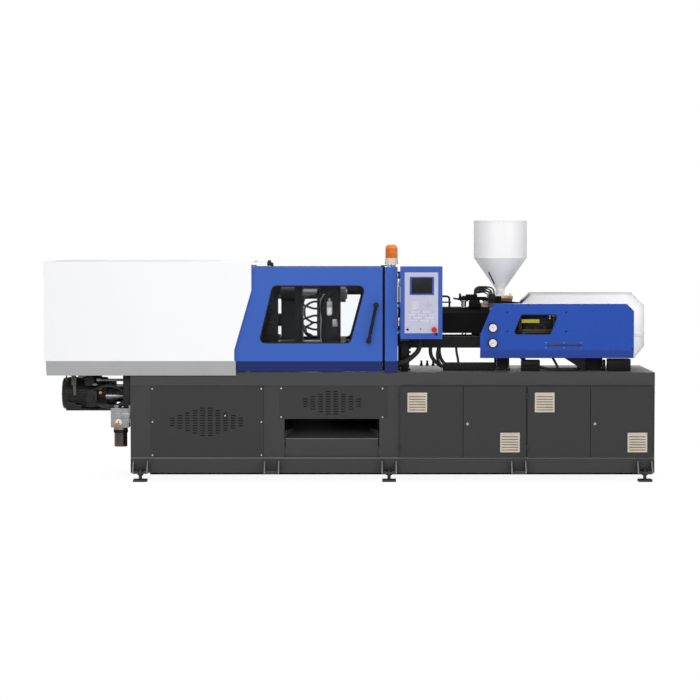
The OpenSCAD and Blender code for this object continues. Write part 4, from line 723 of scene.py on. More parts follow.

# Platens: iron castings painted near black, with the mould faces and bores machined bright.
# They ride on four ground tie bars, whose nuts are pinned at both ends.
# Their near black, with the dark steel of the tie bars, is also painted shade of the clamp's dark inside.
cast_black = painted("cast_black_paint", (0.011, 0.011, 0.012), (0.08, 0.08, 0.085), 0.5, peel=260,
                     mottle=0.12, specular=0.15)
link_black = painted("link_black_paint", (0.009, 0.009, 0.010), (0.07, 0.07, 0.075), 0.45, peel=300,
                     specular=0.2)
ground_steel = metal("ground_steel", (0.55, 0.55, 0.57), (0.42, 0.41, 0.40), (0.12, 0.26), 160, (1, 12, 12))
turned_steel = metal("turned_steel", (0.33, 0.33, 0.34), (0.22, 0.21, 0.20), (0.25, 0.42), 120, (18, 1, 1))
bar_steel = metal("bar_steel", (0.13, 0.13, 0.135), (0.085, 0.085, 0.082), (0.25, 0.4), 160, (1, 12, 12))
dress(cast_black, "fixed_platen", "moving_platen", "rear_platen")
dress(link_black, "rear_link_upper", "rear_link_lower", "front_link_upper", "front_link_lower",
      "crosshead_link_upper", "crosshead_link_lower")
dress(bar_steel, "tie_bars")
dress(ground_steel, "ejector_rod")
dress(turned_steel, "crosshead", "gate_rails")
dress(motor_black, "clamp_cylinder")
clamp_line = 1.4
fixed_face, moving_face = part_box("fixed_platen")[0].x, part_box("moving_platen")[1].x
mould_bolts = [(y, clamp_line + rise) for y in (-0.14, 0.14) for rise in (-0.14, 0.14)]
bolt_bush = [(0.0072, 0), (0.0155, 0), (0.0170, -0.0012), (0.0072, -0.0012)]
rings = bmesh.new()
turned_in(rings, [(0.063, -0.0012), (0.088, -0.0012), (0.0905, 0.0002), (0.0905, 0.0012), (0.063, 0.0012)],
          (fixed_face - 0.0008, 0, clamp_line), (-1, 0, 0), 48)
for y, z in mould_bolts:
    turned_in(rings, bolt_bush, (fixed_face - 0.0012, y, z), (-1, 0, 0), 20)
piece_of(rings, "fixed_face_rings", turned_steel, "root")
rings = bmesh.new()
for y, z in mould_bolts:
    turned_in(rings, bolt_bush, (moving_face + 0.0012, y, z), (1, 0, 0), 20)
piece_of(rings, "moving_face_rings", turned_steel, "moving_platen")

# Grease lines and the limit-switch cable on the fixed platen, with a clear filter bowl at its front edge.
# They are clipped to the casting and seen through the gate window.
bowl_clear = moulded("bowl_clear", (0.72, 0.73, 0.73), (0.60, 0.61, 0.61), (0.1, 0.25), 60)
filter_at, platen_side = Vector((-0.557, -0.386, 0)), -0.3453
bowl = bmesh.new()
turned_in(bowl, [(0, 1.452), (0.014, 1.452), (0.024, 1.462), (0.025, 1.520), (0.022, 1.524), (0, 1.524)],
          filter_at, (0, 0, 1), 28)
piece_of(bowl, "filter_bowl", bowl_clear, "root")
bowl_head = bmesh.new()
box_in(bowl_head, about(filter_at.x, 0.025), about(filter_at.y, 0.025), (1.524, 1.577), 0.006, 3)
turned_in(bowl_head, [(0, 1.577), (0.012, 1.577), (0.012, 1.590), (0.007, 1.604), (0, 1.606)],
          filter_at, (0, 0, 1), 20)
box_in(bowl_head, (-0.580, -0.534), (-0.362, platen_side), (1.530, 1.570), 0.002, 2)
box_in(bowl_head, (-0.530, -0.484), (-0.352, platen_side), (1.352, 1.418), 0.002, 2)
piece_of(bowl_head, "filter_head", pump_alloy, "root")
cable_grey = rubber("cable_grey", (0.16, 0.16, 0.16), (0.22, 0.22, 0.22), 0.3)
hose("switch_cable", [
    (-0.600, -0.350, 1.640), (-0.606, -0.376, 1.636), (-0.626, -0.390, 1.610), (-0.640, -0.392, 1.570),
    (-0.642, -0.393, 1.500), (-0.636, -0.394, 1.450), (-0.630, -0.394, 1.400), (-0.634, -0.394, 1.340),
    (-0.638, -0.393, 1.280), (-0.632, -0.392, 1.230), (-0.622, -0.390, 1.180), (-0.615, -0.386, 1.120),
    (-0.612, -0.382, 1.060), (-0.612, -0.380, 0.957)], 0.005, "root", cable_grey, step=0.02)
hose("grease_line", [
    (-0.562, -0.350, 1.640), (-0.558, -0.372, 1.652), (-0.536, -0.394, 1.672), (-0.516, -0.398, 1.690),
    (-0.494, -0.400, 1.680), (-0.484, -0.400, 1.650), (-0.482, -0.398, 1.600), (-0.480, -0.395, 1.540),
    (-0.482, -0.392, 1.480), (-0.486, -0.388, 1.430), (-0.490, -0.375, 1.405), (-0.490, -0.346, 1.400)],
    0.004, "root", hose_rubber, step=0.02)


# Clamp cover: two side sheets and a roof folded from 1.5 mm steel, powder coated white; the grey of its kick
# hem is painted shade.
# A narrow lip carries the roof over the gate, with the gate's limit switch at its end.
# Below a given height the paint gives way to another colour; the hems use this for painted shade.
def zoned(material, height, below):
    tree = material.node_tree
    film = next(node for node in tree.nodes if node.type == "GROUP")
    paint = tuple(film.inputs["Paint"].default_value)[:3]
    split = added(tree, "SeparateXYZ")
    tree.links.new(added(tree, "TexCoord").outputs["Object"], split.inputs[0])
    mask = spread(tree, split.outputs["Z"], 1, 0, height - 0.0005, height + 0.0005)
    tree.links.new(two_tone(tree, mask, paint, below), film.inputs["Paint"])


# Painted shade: below hem_top the white turns grey, for the hem that bends in and faces down.
hem_top, hem_shade_grey = 1.062, (0.41, 0.41, 0.41)
cover_white = painted("cover_white_powder", (0.93, 0.93, 0.935), (0.66, 0.66, 0.66), 0.36, dust=0.10,
                      wear=0.2, peel=900, mottle=0.02, specular=0.4)
zoned(cover_white, hem_top, hem_shade_grey)
dress(cover_white, "front_cover", "rear_cover", "roof_cover")
lip_x, lip_y, lip_top = (-1.246, -1.100), -0.6595, 1.9335
lip = bmesh.new()
box_in(lip, lip_x, (lip_y, -0.640), (1.9055, lip_top), 0.001)
box_in(lip, lip_x, (lip_y, -0.575), (1.9300, lip_top), 0.001)
piece_of(lip, "roof_lip", cover_white, "root")
switch_y = -0.632
switch = bmesh.new()
box_in(switch, (lip_x[1], -1.062), about(switch_y, 0.020), (1.8960, lip_top), 0.003, 2)
rod_in(switch, (-1.081, switch_y, 1.930), (-1.081, switch_y, 1.946), 0.014)
rod_in(switch, (-1.062, switch_y, 1.915), (-1.046, switch_y, 1.915), 0.009)
turned_in(switch, [(0, -0.006), (0.0105, -0.006), (0.0115, -0.004), (0.0115, 0.004), (0.0105, 0.006),
                   (0, 0.006)], (-1.055, switch_y, 1.9015), (0, -1, 0), 20)
piece_of(switch, "gate_limit_switch", latch_black, "root")
cover_side, cover_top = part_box("rear_cover")[1].y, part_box("rear_cover")[1].z
cover_screws = bmesh.new()
for side in (-1, 1):
    for x in (-3.030, -2.400, -1.850, -1.420):
        dome_screw(cover_screws, x, side * cover_side, 1.085, 0.006, (0, side, 0))
    for x in (-3.030, -2.430, -1.830, -1.265):
        dome_screw(cover_screws, x, side * 0.640, cover_top, 0.006, (0, 0, 1))
piece_of(cover_screws, "cover_screws", cover_white, "root")


# Sliding gates: blue powder-coated sheet, folded all round, with a slanted window; the navy of the kick hem
# is painted shade.
# The pane is polycarbonate, held from inside; a black glazing strip runs round the opening.
def edge_strip(corners, radius, outside, inside, y_near, y_far):
    strip = bmesh.new()
    stations = []
    for i, corner in enumerate(corners):
        at = Vector(corner)
        before = (Vector(corners[i - 1]) - at).normalized()
        after = (Vector(corners[(i + 1) % len(corners)]) - at).normalized()
        half = before.angle(after) / 2
        centre = at + (before + after).normalized() * radius / math.sin(half)
        start, end = ((at + way * radius / math.tan(half) - centre).normalized() for way in (before, after))
        for k in range(9):
            way = start.slerp(end, k / 8)
            out, into = centre + way * (radius + outside), centre + way * (radius - inside)
            stations.append([strip.verts.new((spot.x, y, spot.y)) for spot, y in
                             ((out, y_near), (out, y_far), (into, y_far), (into, y_near))])
    for one, two in zip(stations, [*stations[1:], stations[0]]):
        for k in range(4):
            strip.faces.new((one[k], one[(k + 1) % 4], two[(k + 1) % 4], two[k]))
    return strip


# Painted shade: below the hem's top the gates and the column turn navy, for the hem that bends in and faces
# down.
navy = (0.002, 0.013, 0.125)
gate_blue = painted("gate_blue_powder", (0.036, 0.112, 0.470), (0.14, 0.24, 0.60), 0.30, dust=0.08,
                    wear=0.2, peel=900, mottle=0.03, specular=0.3)
zoned(gate_blue, 1.0588, navy)
dress(gate_blue, "front_gate_panel", "rear_gate_panel", "guard_columns")
clear_pane, tree, shader = new_material("clear_pane")
tint = two_tone(tree, spread(tree, noise_from(tree, 4), 0, 1), (0.97, 0.985, 0.99), (0.94, 0.96, 0.97))
surface_from(tree, shader, tint, spread(tree, noise_from(tree, 20, 5), 0.0, 0.03))
set_on(shader, {"Transmission Weight": 1.0, "IOR": 1.12})
dress(clear_pane, "front_gate_window", "rear_gate_window")
window_corners = [(-0.375, 1.219), (-0.241, 1.720), (-1.052, 1.720), (-1.175, 1.219)]
for side, body in ((-1, "front_gate"), (1, "rear_gate")):
    strip = edge_strip(window_corners, 0.044, 0.004, 0.005, side * 0.6285, side * 0.6312)
    piece_of(strip, f"{body}_glazing_strip", latch_black, body)
dress(latch_black, "front_gate_handle")
seal_x = (-0.0885, -0.0690)
gate_seals = bmesh.new()
for side in (-1, 1):
    box_in(gate_seals, seal_x, across(side, 0.560, 0.628), (hem_top, 1.884), 0.002, 2)
    box_in(gate_seals, seal_x, across(side, 0.545, 0.586), (0.972, hem_top), 0.002, 2)
piece_of(gate_seals, "gate_edge_seals", felt_and_shade_black, "root")

# Behind the panes: a stiffener across the rear gate, a cable plate beside the moving platen and water hoses.
# The hoses hang from a manifold on the fixed platen, outside the space that the mould takes.
beam = bmesh.new()
box_in(beam, (-1.330, -0.150), (0.590, 0.6195), (1.612, 1.742), 0.004, 2)
box_in(beam, (-1.330, -0.150), (0.575, 0.595), (1.640, 1.700), 0.006, 3)
piece_of(beam, "rear_gate_stiffener", cast_black, "rear_gate")
cable_plate = bmesh.new()
box_in(cable_plate, (-1.168, -1.012), (-0.366, -0.360), (1.190, 1.742), 0.004, 2)
for z in (1.260, 1.660):
    box_in(cable_plate, (-1.030, -0.9895), (-0.366, -0.330), about(z, 0.025), 0.002, 2)
row_of_boxes(cable_plate, 13, (0, 0, 0.042), (-1.110, -1.060), (-0.392, -0.364), (1.200, 1.234), 0.003, 2)
piece_of(cable_plate, "platen_cable_plate", cast_black, "moving_platen")
tap_x, tap_y, tap_pitch, lowest_tap = -0.668, -0.372, 0.062, 1.265
manifold = bmesh.new()
box_in(manifold, (tap_x, fixed_face - 0.0005), (-0.402, -0.340), (1.235, 1.690), 0.004, 2)
for i in range(7):
    tap = (tap_x, tap_y, lowest_tap + i * tap_pitch)
    cap_in(manifold, tap, (-1, 0, 0), 0.009, 0.010, 0.014, 0.010, -0.001, 14)
piece_of(manifold, "water_manifold", cast_black, "root")
loops = ((6, 4, -0.790, -0.376), (5, 2, -0.776, -0.384), (3, 1, -0.792, -0.372), (2, 0, -0.765, -0.392),
         (6, 0, -0.800, -0.368))
for number, (upper, lower, bow, out) in enumerate(loops, 1):
    top, foot = lowest_tap + upper * tap_pitch, lowest_tap + lower * tap_pitch
    middle, half = (top + foot) / 2, (top - foot) / 2
    hose(f"water_hose_{number}", [
        (-0.680, tap_y, top), (-0.704, out, top - 0.002), (bow + 0.030, out - 0.006, top - 0.022),
        (bow, out - 0.010, middle + half * 0.4), (bow - 0.002, out - 0.012, middle),
        (bow + 0.004, out - 0.010, middle - half * 0.45), (bow + 0.036, out - 0.006, foot + 0.020),
        (-0.704, out, foot + 0.002), (-0.680, tap_y, foot)], 0.0095, "root", hose_rubber)

# Warning beacon: a cream moulded base, a fluted amber lens and a turning chrome reflector inside.
# It stands on top of the blue guard column, whose screws are painted with it.
cream = moulded("beacon_cream", (0.78, 0.70, 0.56), (0.70, 0.62, 0.48))
amber, tree, shader = new_material("beacon_amber")
tint = two_tone(tree, spread(tree, noise_from(tree, 9), 0, 1), (1.0, 0.56, 0.10), (1.0, 0.36, 0.04))
surface_from(tree, shader, tint, spread(tree, noise_from(tree, 50), 0.10, 0.22))
set_on(shader, {"Transmission Weight": 0.85, "IOR": 1.45})
dress(cream, "beacon_base")
dress(amber, "beacon_dome")
dress(plated, "beacon_reflector")
beacon_at = (-0.01005, -0.565, 0)
flute_count = 36
flutes = bmesh.new()
for i in range(flute_count):
    turn = i * 2 * math.pi / flute_count
    foot, top = ((beacon_at[0] + radius * math.cos(turn), beacon_at[1] + radius * math.sin(turn), z)
                 for radius, z in ((0.0532, 1.972), (0.0508, 2.054)))
    rod_in(flutes, foot, top, 0.0016, sides=6)
piece_of(flutes, "beacon_flutes", amber, "root")
base_rings = bmesh.new()
base_radius, ring_round = 0.0565, 0.0010
for low, high, radius in ((1.9260, 1.9320, 0.0592), (1.9110, 1.9190, 0.0605)):
    turned_in(base_rings, [(base_radius, low), (radius, low + ring_round), (radius, high - ring_round),
                           (base_radius, high)], beacon_at, (0, 0, 1), 48)
piece_of(base_rings, "beacon_base_rings", cream, "root")
column_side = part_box("guard_columns")[1].y
column_screws = bmesh.new()
for side in (-1, 1):
    for z in (1.120, 1.480, 1.840):
        dome_screw(column_screws, -0.052, side * column_side, z, 0.006, (0, side, 0))
piece_of(column_screws, "column_screws", gate_blue, "root")


# Control panel: a welded housing in the gate's blue, a lavender printed film on its front and a dark screen.
# The keys are domes under the film, raised a little; knobs and the key switch are turned.
def key_in(bm, x, z, wide, tall):
    box_in(bm, about(x, wide / 2), (film_y - 0.0022, film_y + 0.0004), about(z, tall / 2), 0.0012, 2)


panel_blue = painted("panel_blue_powder", (0.034, 0.098, 0.430), (0.14, 0.24, 0.60), 0.30, dust=0.10,
                     wear=0.3, peel=900, mottle=0.03, specular=0.35)
film_lavender = moulded("film_lavender", (0.535, 0.535, 0.660), (0.505, 0.505, 0.630), (0.28, 0.4), 700)
bezel_blue = moulded("bezel_blue", (0.035, 0.085, 0.40), (0.030, 0.075, 0.36), (0.25, 0.35))
screen_glass = moulded("screen_glass", (0.015, 0.016, 0.017), (0.018, 0.019, 0.020), (0.35, 0.45), 30,
                       0.00005, 0.1)
key_white = moulded("key_white", (0.66, 0.66, 0.76), (0.63, 0.63, 0.73), (0.3, 0.4))
key_blue = moulded("key_blue", (0.45, 0.46, 0.64), (0.42, 0.43, 0.61), (0.3, 0.4))
estop_red = moulded("estop_red", (0.60, 0.022, 0.022), (0.52, 0.018, 0.018), (0.18, 0.3), 100)
dress(panel_blue, "panel_housing")
dress(film_lavender, "panel_fascia")
dress(latch_black, "panel_hinge")
dress(estop_red, "estop_button")
hinge_cover = bmesh.new()
box_in(hinge_cover, (0.0470, 0.0620), (-0.6300, -0.6150), (1.262, 1.826), 0.002, 2)
piece_of(hinge_cover, "panel_hinge_cover", felt_and_shade_black, "root")
knuckles = bmesh.new()
for z in (1.406, 1.746):
    turned_in(knuckles, [(0, z - 0.036), (0.0085, z - 0.036), (0.0095, z - 0.034), (0.0095, z + 0.034),
                         (0.0085, z + 0.036), (0, z + 0.036)], (0.0545, -0.6405, 0), (0, 0, 1), 20)
piece_of(knuckles, "panel_hinge_knuckles", plated, "root")
film_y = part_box("panel_fascia")[0].y
bezel = bmesh.new()
box_in(bezel, (0.1468, 0.3584), (film_y - 0.004, film_y + 0.001), (1.6429, 1.8012), 0.0018, 3)
sunk_front(bezel, 0.012, 0.0030)
piece_of(bezel, "screen_bezel", bezel_blue, "control_panel")
screen = bmesh.new()
box_in(screen, (0.1625, 0.3427), (film_y - 0.0022, film_y - 0.0002), (1.6535, 1.7907), 0.0008, 2)
piece_of(screen, "screen", screen_glass, "control_panel")
keys, pale_keys = bmesh.new(), bmesh.new()
for row in range(4):
    for column in range(3):
        key_in(keys, 0.1765 + column * 0.0195, 1.5815 - row * 0.0185, 0.0155, 0.0140)
    for column in range(11):
        kind = keys if (column + 2 * row) % 5 else pale_keys
        key_in(kind, 0.1480 + column * 0.0198, 1.4940 - row * 0.0255, 0.0150, 0.0135)
for column, row in ((1, 0), (0, 1), (1, 1), (2, 1), (1, 2)):
    key_in(pale_keys, 0.2850 + column * 0.0230, 1.5800 - row * 0.0225, 0.0165, 0.0160)
piece_of(keys, "panel_keys", key_white, "control_panel")
piece_of(pale_keys, "panel_soft_keys", key_blue, "control_panel")
knobs = bmesh.new()
for x, z, radius in ((0.1284, 1.3410, 0.0095), (0.2430, 1.3456, 0.0055)):
    cap_in(knobs, (x, film_y, z), (0, -1, 0), radius * 0.8, radius, 0.010, 0.008)
key_switch = Vector((0.3800, film_y, 1.3000))
cap_in(knobs, key_switch, (0, -1, 0), 0.0105, 0.0120, 0.006, 0.004)
key_grip = (film_y - 0.024, film_y - 0.005)
box_in(knobs, about(key_switch.x, 0.0015), key_grip, about(key_switch.z, 0.0075), 0.0008, 2)
piece_of(knobs, "panel_knobs", latch_black, "control_panel")

# Injection carriage: black beams on the deck carry a cast plate with the throat block, barrel and drive.
# The ways are ground on top; the plate, front wall and cylinders are painted with the castings.
rail_black = painted("rail_black_paint", (0.0085, 0.0085, 0.0090), (0.08, 0.08, 0.085), 0.45, dust=0.2,
                     peel=500, specular=0.2)
dress(rail_black, "carriage_rails", "screw_drive")
dress(cast_black, "carriage_frame")
dress(ground_steel, "screw")
rail_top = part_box("carriage_rails")[1].z
way_z = (rail_top - 0.0008, rail_top + 0.0006)
ways = bmesh.new()
for side in (-1, 1):
    for near, far in ((0.155, 0.163), (0.217, 0.225)):
        box_in(ways, (0.060, 2.245), across(side, near, far), way_z, 0.0005, 1)
    for x in (0.075, 0.142, 0.948, 1.042, 1.714, 1.875):
        rod_in(ways, (x, side * 0.244, 0.9725), (x, side * 0.244, 0.9835), 0.009, sides=6)
piece_of(ways, "way_strips", turned_steel, "root")


# Barrel and its guard: a nitrided steel tube, blued by the heater bands, under a folded black sheet hood.
# A bent handrail and the thermocouple bracket with its fan of leads stand on the hood.
def bent_rod(name, points, radius, body, material):
    piece = tube(name, smooth_route(points, 0.008), radius, 5, material)
    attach(piece, body)


blued = metal("blued_steel", (0.30, 0.27, 0.24), (0.16, 0.15, 0.20), (0.25, 0.45), 90, (14, 1, 1))
guard_black = painted("guard_black_satin", (0.0055, 0.0055, 0.0058), (0.05, 0.05, 0.055), 0.55, dust=0.01,
                      peel=900, specular=0.08)
dress(blued, "barrel")
dress(guard_black, "barrel_guard")
screw_line, band_pitch = 1.4, 0.160
clamps = bmesh.new()
for i in range(5):
    band = -0.057 + i * band_pitch
    for x in (band + 0.022, band + 0.098):
        box_in(clamps, about(x, 0.007), about(0, 0.016), (1.3245, 1.3375), 0.002, 2)
    for start, end in ((-0.052, -0.044), (0.044, 0.052)):
        turned_in(clamps, [(0.0625, start), (0.0645, start), (0.0645, end), (0.0625, end)],
                  (band + 0.060, 0, screw_line), (1, 0, 0), 40)
piece_of(clamps, "heater_band_clamps", plated, "carriage")
rail_y, rail_foot, bar_z = -0.108, 1.5155, 1.562
bent_rod("guard_handrail", [(x, rail_y, z) for x, z in (
    (0.518, rail_foot), (0.518, 1.550), (0.518, 1.580), (0.516, 1.600), (0.506, 1.611), (0.484, 1.615),
    (0.420, 1.615), (0.360, 1.615), (0.338, 1.611), (0.326, 1.600), (0.324, 1.580), (0.324, 1.550),
    (0.324, rail_foot))], 0.0090, "carriage", guard_black)
bent_rod("guard_handrail_bar", [(x, rail_y, bar_z) for x in (0.324, 0.390, 0.460, 0.534)], 0.0065, "carriage",
         guard_black)
guard_lip = bmesh.new()
for side in (-1, 1):
    box_in(guard_lip, (0.062, 0.786), across(side, 0.150, 0.169), (1.2870, 1.2985), 0.001, 1)
box_in(guard_lip, (0.715, 0.786), (-0.168, -0.125), (1.2625, 1.2985), 0.004, 2)
piece_of(guard_lip, "barrel_guard_lip", guard_black, "carriage")
for number, x in enumerate((0.640, 0.668), 1):
    bent_rod(f"lead_pipe_{number}", [
        (x, -0.160, 1.290), (x - 0.006, -0.163, 1.282), (x - 0.014, -0.163, 1.272),
        (x - 0.020, -0.160, 1.264)], 0.005, "carriage", guard_black)

shelf, pedestal_top, nose_root, knob_foot = 1.581, 1.582, 0.598, 1.596
bracket = bmesh.new()
for corner in box_in(bracket, (0.696, 0.788), (-0.150, -0.070), (rail_foot, pedestal_top), 0.003, 2):
    lean = 1 if corner.co.x > 0.74 else -0.4
    corner.co.x += 0.014 * (pedestal_top - corner.co.z) / (pedestal_top - rail_foot) * lean
box_in(bracket, (0.590, 0.868), (-0.132, -0.088), (1.580, 1.600), 0.004, 2)
box_in(bracket, (0.630, 0.850), (-0.140, -0.080), (1.596, 1.611), 0.005, 2)
box_in(bracket, (0.664, 0.768), (-0.145, -0.075), (1.609, 1.633), 0.006, 3)
for corner in box_in(bracket, (0.552, nose_root), (-0.124, -0.096), (1.583, 1.598), 0.004, 2):
    corner.co.z += (nose_root - corner.co.x) * 0.12
for corner in box_in(bracket, (0.602, 0.632), (-0.122, -0.098), (knob_foot, 1.642), 0.005, 2):
    corner.co.x += (corner.co.z - knob_foot) * (-0.25 if corner.co.x > 0.617 else 0.05)
box_in(bracket, (0.632, 0.664), (-0.118, -0.102), (1.608, 1.620), 0.003, 2)
for x in (0.62, 0.68, 0.82, 0.85):
    turned_in(bracket, [(0, shelf - 0.010), (0.008, shelf - 0.010), (0.008, shelf), (0, shelf)],
              (x, -0.110, 0), (0, 0, 1), 10)
piece_of(bracket, "thermocouple_bracket", guard_black, "carriage")
stand = bmesh.new()
turned_in(stand, [(0, 1.5145), (0.029, 1.5145), (0.029, 1.522), (0.023, 1.526), (0.024, 1.566),
                  (0.029, 1.570), (0.029, 1.5805), (0, 1.5805)], (0.646, -0.110, 0), (0, 0, 1), 26)
piece_of(stand, "bracket_stand", plated, "carriage")
lead_runs = (
    (0.756, -0.128, 1.668, 0.885, -0.121), (0.756, -0.118, 1.684, 0.905, -0.112),
    (0.752, -0.106, 1.698, 0.925, -0.112), (0.752, -0.094, 1.690, 0.895, -0.112),
    (0.748, -0.084, 1.702, 0.920, -0.112), (0.758, -0.122, 1.652, 0.876, -0.119),
    (0.760, -0.112, 1.660, 0.915, -0.116), (0.746, -0.100, 1.676, 0.880, -0.114),
)
for number, (x, y, top, reach, end_y) in enumerate(lead_runs, 1):
    hose(f"heater_lead_{number}", [
        (x, y, 1.612), (x - 0.004, y, 1.630), (x - 0.002, y, 1.630 + (top - 1.630) * 0.6),
        (x + 0.020, y, top - 0.006), (x + 0.056, y - 0.004, top), (reach - 0.042, y - 0.008, top - 0.004),
        (reach - 0.012, end_y - 0.010, top - 0.022), (reach - 0.002, end_y - 0.012, 1.624),
        (reach - 0.008, end_y - 0.010, 1.590), (reach, end_y - 0.002, 1.560)],
        0.0055, "carriage", hose_rubber)

# Throat and hopper: a bronze-brown cast block, a sliding shut-off plate and a spun steel hopper in white.
# A narrow glass in the cone shows the level; the neck has a drain with a capped pipe.
throat_brown = metal("throat_bronze", (0.145, 0.092, 0.052), (0.085, 0.058, 0.036), (0.35, 0.6), 70,
                     depth=0.0004)
bronze = metal("shut_off_bronze", (0.42, 0.26, 0.15), (0.32, 0.19, 0.11), (0.3, 0.5), 80)
lug_iron = metal("lug_iron", (0.40, 0.36, 0.28), (0.30, 0.27, 0.21), (0.45, 0.65), 90, depth=0.0004)
enamel = painted("hopper_enamel", (0.97, 0.962, 0.955), (0.66, 0.66, 0.66), 0.26, dust=0.10, wear=0.3,
                 peel=240, mottle=0.02, specular=0.45)
dress(throat_brown, "throat_block")
dress(enamel, "hopper", "hopper_lid")
plate_z = (1.588, 1.6165)
plate = bmesh.new()
box_in(plate, (0.984, 1.088), (-0.1205, -0.1175), plate_z, 0.001, 2)
box_in(plate, (1.0735, 1.0875), (-0.112, 0.112), plate_z, 0.003, 2)
piece_of(plate, "shut_off_plate", bronze, "carriage")
lug = bmesh.new()
box_in(lug, (0.800, 0.869), (-0.100, -0.040), (1.513, 1.560), 0.004, 3)
box_in(lug, (0.826, 0.869), (-0.112, -0.030), (1.540, 1.600), 0.005, 3)
piece_of(lug, "throat_lug", lug_iron, "carriage")
droop_from = 1.000
splash = bmesh.new()
box_in(splash, (0.875, 0.982), (-0.1215, -0.1175), (1.560, 1.613), 0.001, 2)
for i in range(8):
    x = 0.915 + i * 0.030
    for corner in box_in(splash, (x, x + 0.032), (-0.300, -0.296), (1.548, 1.577), 0.001, 1):
        corner.co.z -= 0.10 * max(0.0, corner.co.x - droop_from) ** 1.2
piece_of(splash, "throat_splash_plate", guard_black, "carriage")
bolts = bmesh.new()
for x in (0.890, 1.070):
    for y in (-0.090, 0.090):
        cap_in(bolts, (x, y, 0), (0, 0, 1), 0.008, 0.0095, 1.6365, 1.635, 1.6275, 18)
for x in (0.895, 0.935):
    for z in (1.330, 1.500):
        cap_in(bolts, (x, -0.110, z), (0, -1, 0), 0.010, 0.0115, 0.012, 0.010, -0.001, 18)
piece_of(bolts, "throat_bolts", zinc, "carriage")

hopper_at = Vector((0.98, 0, 0))
seams = bmesh.new()
for profile, steps in (
    ([(0.2388, 1.9585), (0.2408, 1.9590), (0.2415, 1.9615), (0.2408, 1.9640), (0.2388, 1.9645)], 96),
    ([(0.2388, 2.2770), (0.2410, 2.2780), (0.2418, 2.2820), (0.2410, 2.2860), (0.2388, 2.2870)], 96),
    ([(0.0405, 1.6740), (0.0425, 1.6750), (0.0425, 1.6800), (0.0415, 1.6820)], 40),
):
    turned_in(seams, profile, hopper_at, (0, 0, 1), steps)
drain = hopper_at + Vector((0, -0.030, 1.655))
rod_in(seams, drain, drain + Vector((-0.004, -0.055, -0.030)), 0.017)
rod_in(seams, drain + Vector((-0.004, -0.053, -0.029)), drain + Vector((-0.0048, -0.064, -0.035)), 0.020)
piece_of(seams, "hopper_seams", enamel, "carriage")
meridian = math.radians(222.5)
outward = Vector((math.cos(meridian), math.sin(meridian), 0))
sideways = Vector((-math.sin(meridian), math.cos(meridian), 0))
cone_foot, cone_head = (0.0735, 1.726), (0.149, 1.833)
foot, head = (hopper_at + outward * radius + Vector((0, 0, z)) for radius, z in (cone_foot, cone_head))
upward = (head - foot).normalized()
on_cone = Matrix((sideways, upward, sideways.cross(upward))).transposed().to_4x4()
half = (head - foot).length / 2
glass = bmesh.new()
pane = box_in(glass, (-0.0085, 0.0085), (-half, half), (-0.004, 0.0032), 0.003, 3)
bmesh.ops.transform(glass, matrix=Matrix.Translation((foot + head) / 2) @ on_cone, verts=pane)
piece_of(glass, "hopper_sight_glass", screen_glass, "carriage")
lid_rim = bmesh.new()
turned_in(lid_rim, [(0.2395, 2.2908), (0.2412, 2.2915), (0.2412, 2.2945), (0.2385, 2.2955), (0.2350, 2.2957)],
          hopper_at, (0, 0, 1), 96)
for x in (0.945, 1.015):
    rod_in(lid_rim, (x, -0.200, 2.2955), (x, -0.200, 2.2975), 0.007, sides=16)
piece_of(lid_rim, "hopper_lid_rim", enamel, "hopper_lid")

# Guards of the injection unit: the front one blue with a slanted opening, the rear one a shallow white tray.
# Black dome screws hold the front sheet; two glycerine gauges with chrome rims are let into it.
# Painted shade: below its fold the front guard turns a darker blue, for the fold that faces down.
hem_shade_blue = (0.010, 0.050, 0.330)
guard_blue = painted("guard_blue_powder", (0.016, 0.073, 0.405), (0.10, 0.18, 0.55), 0.28, dust=0.08,
                     wear=0.2, peel=900, mottle=0.03, specular=0.3)
zoned(guard_blue, 1.1479, hem_shade_blue)
glowing_tray = painted("tray_powder_painted_glow", (0.93, 0.93, 0.935), (0.70, 0.70, 0.70), 0.36, dust=0.04,
                     wear=0.2, peel=900, mottle=0.02, specular=0.4)
# Painted light: the tray's faces that look to the front glow faintly white, lifting the shade of its flange
# and of the unit in front.
tree, shader = glowing_tray.node_tree, glowing_tray.node_tree.nodes["Principled BSDF"]
facing = added(tree, "SeparateXYZ")
joined(tree, (added(tree, "NewGeometry").outputs["True Normal"], facing.inputs[0]),
       (spread(tree, facing.outputs["Y"], 0.24, 0, -0.95, -0.80), shader.inputs["Emission Strength"]))
set_on(shader, {"Emission Color": white})
slot_shade_navy = moulded("slot_shade_navy", (0.022, 0.022, 0.105), (0.018, 0.018, 0.090))
rim_chrome = metal("gauge_rim_chrome", (0.60, 0.60, 0.61), (0.48, 0.48, 0.48), (0.1, 0.22), 80)
dress(guard_blue, "injection_guard")
dress(glowing_tray, "rear_guard")
dress(rim_chrome, "pressure_gauges")
guard_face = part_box("injection_guard")[0].y
guard_screws = bmesh.new()
for x, z in ((1.018, 1.483), (1.538, 1.483), (1.018, 1.314), (1.538, 1.314), (1.204, 1.549), (2.105, 1.516),
             (2.126, 1.158)):
    dome_screw(guard_screws, x, guard_face, z, 0.008)
piece_of(guard_screws, "guard_screws", latch_black, "carriage")
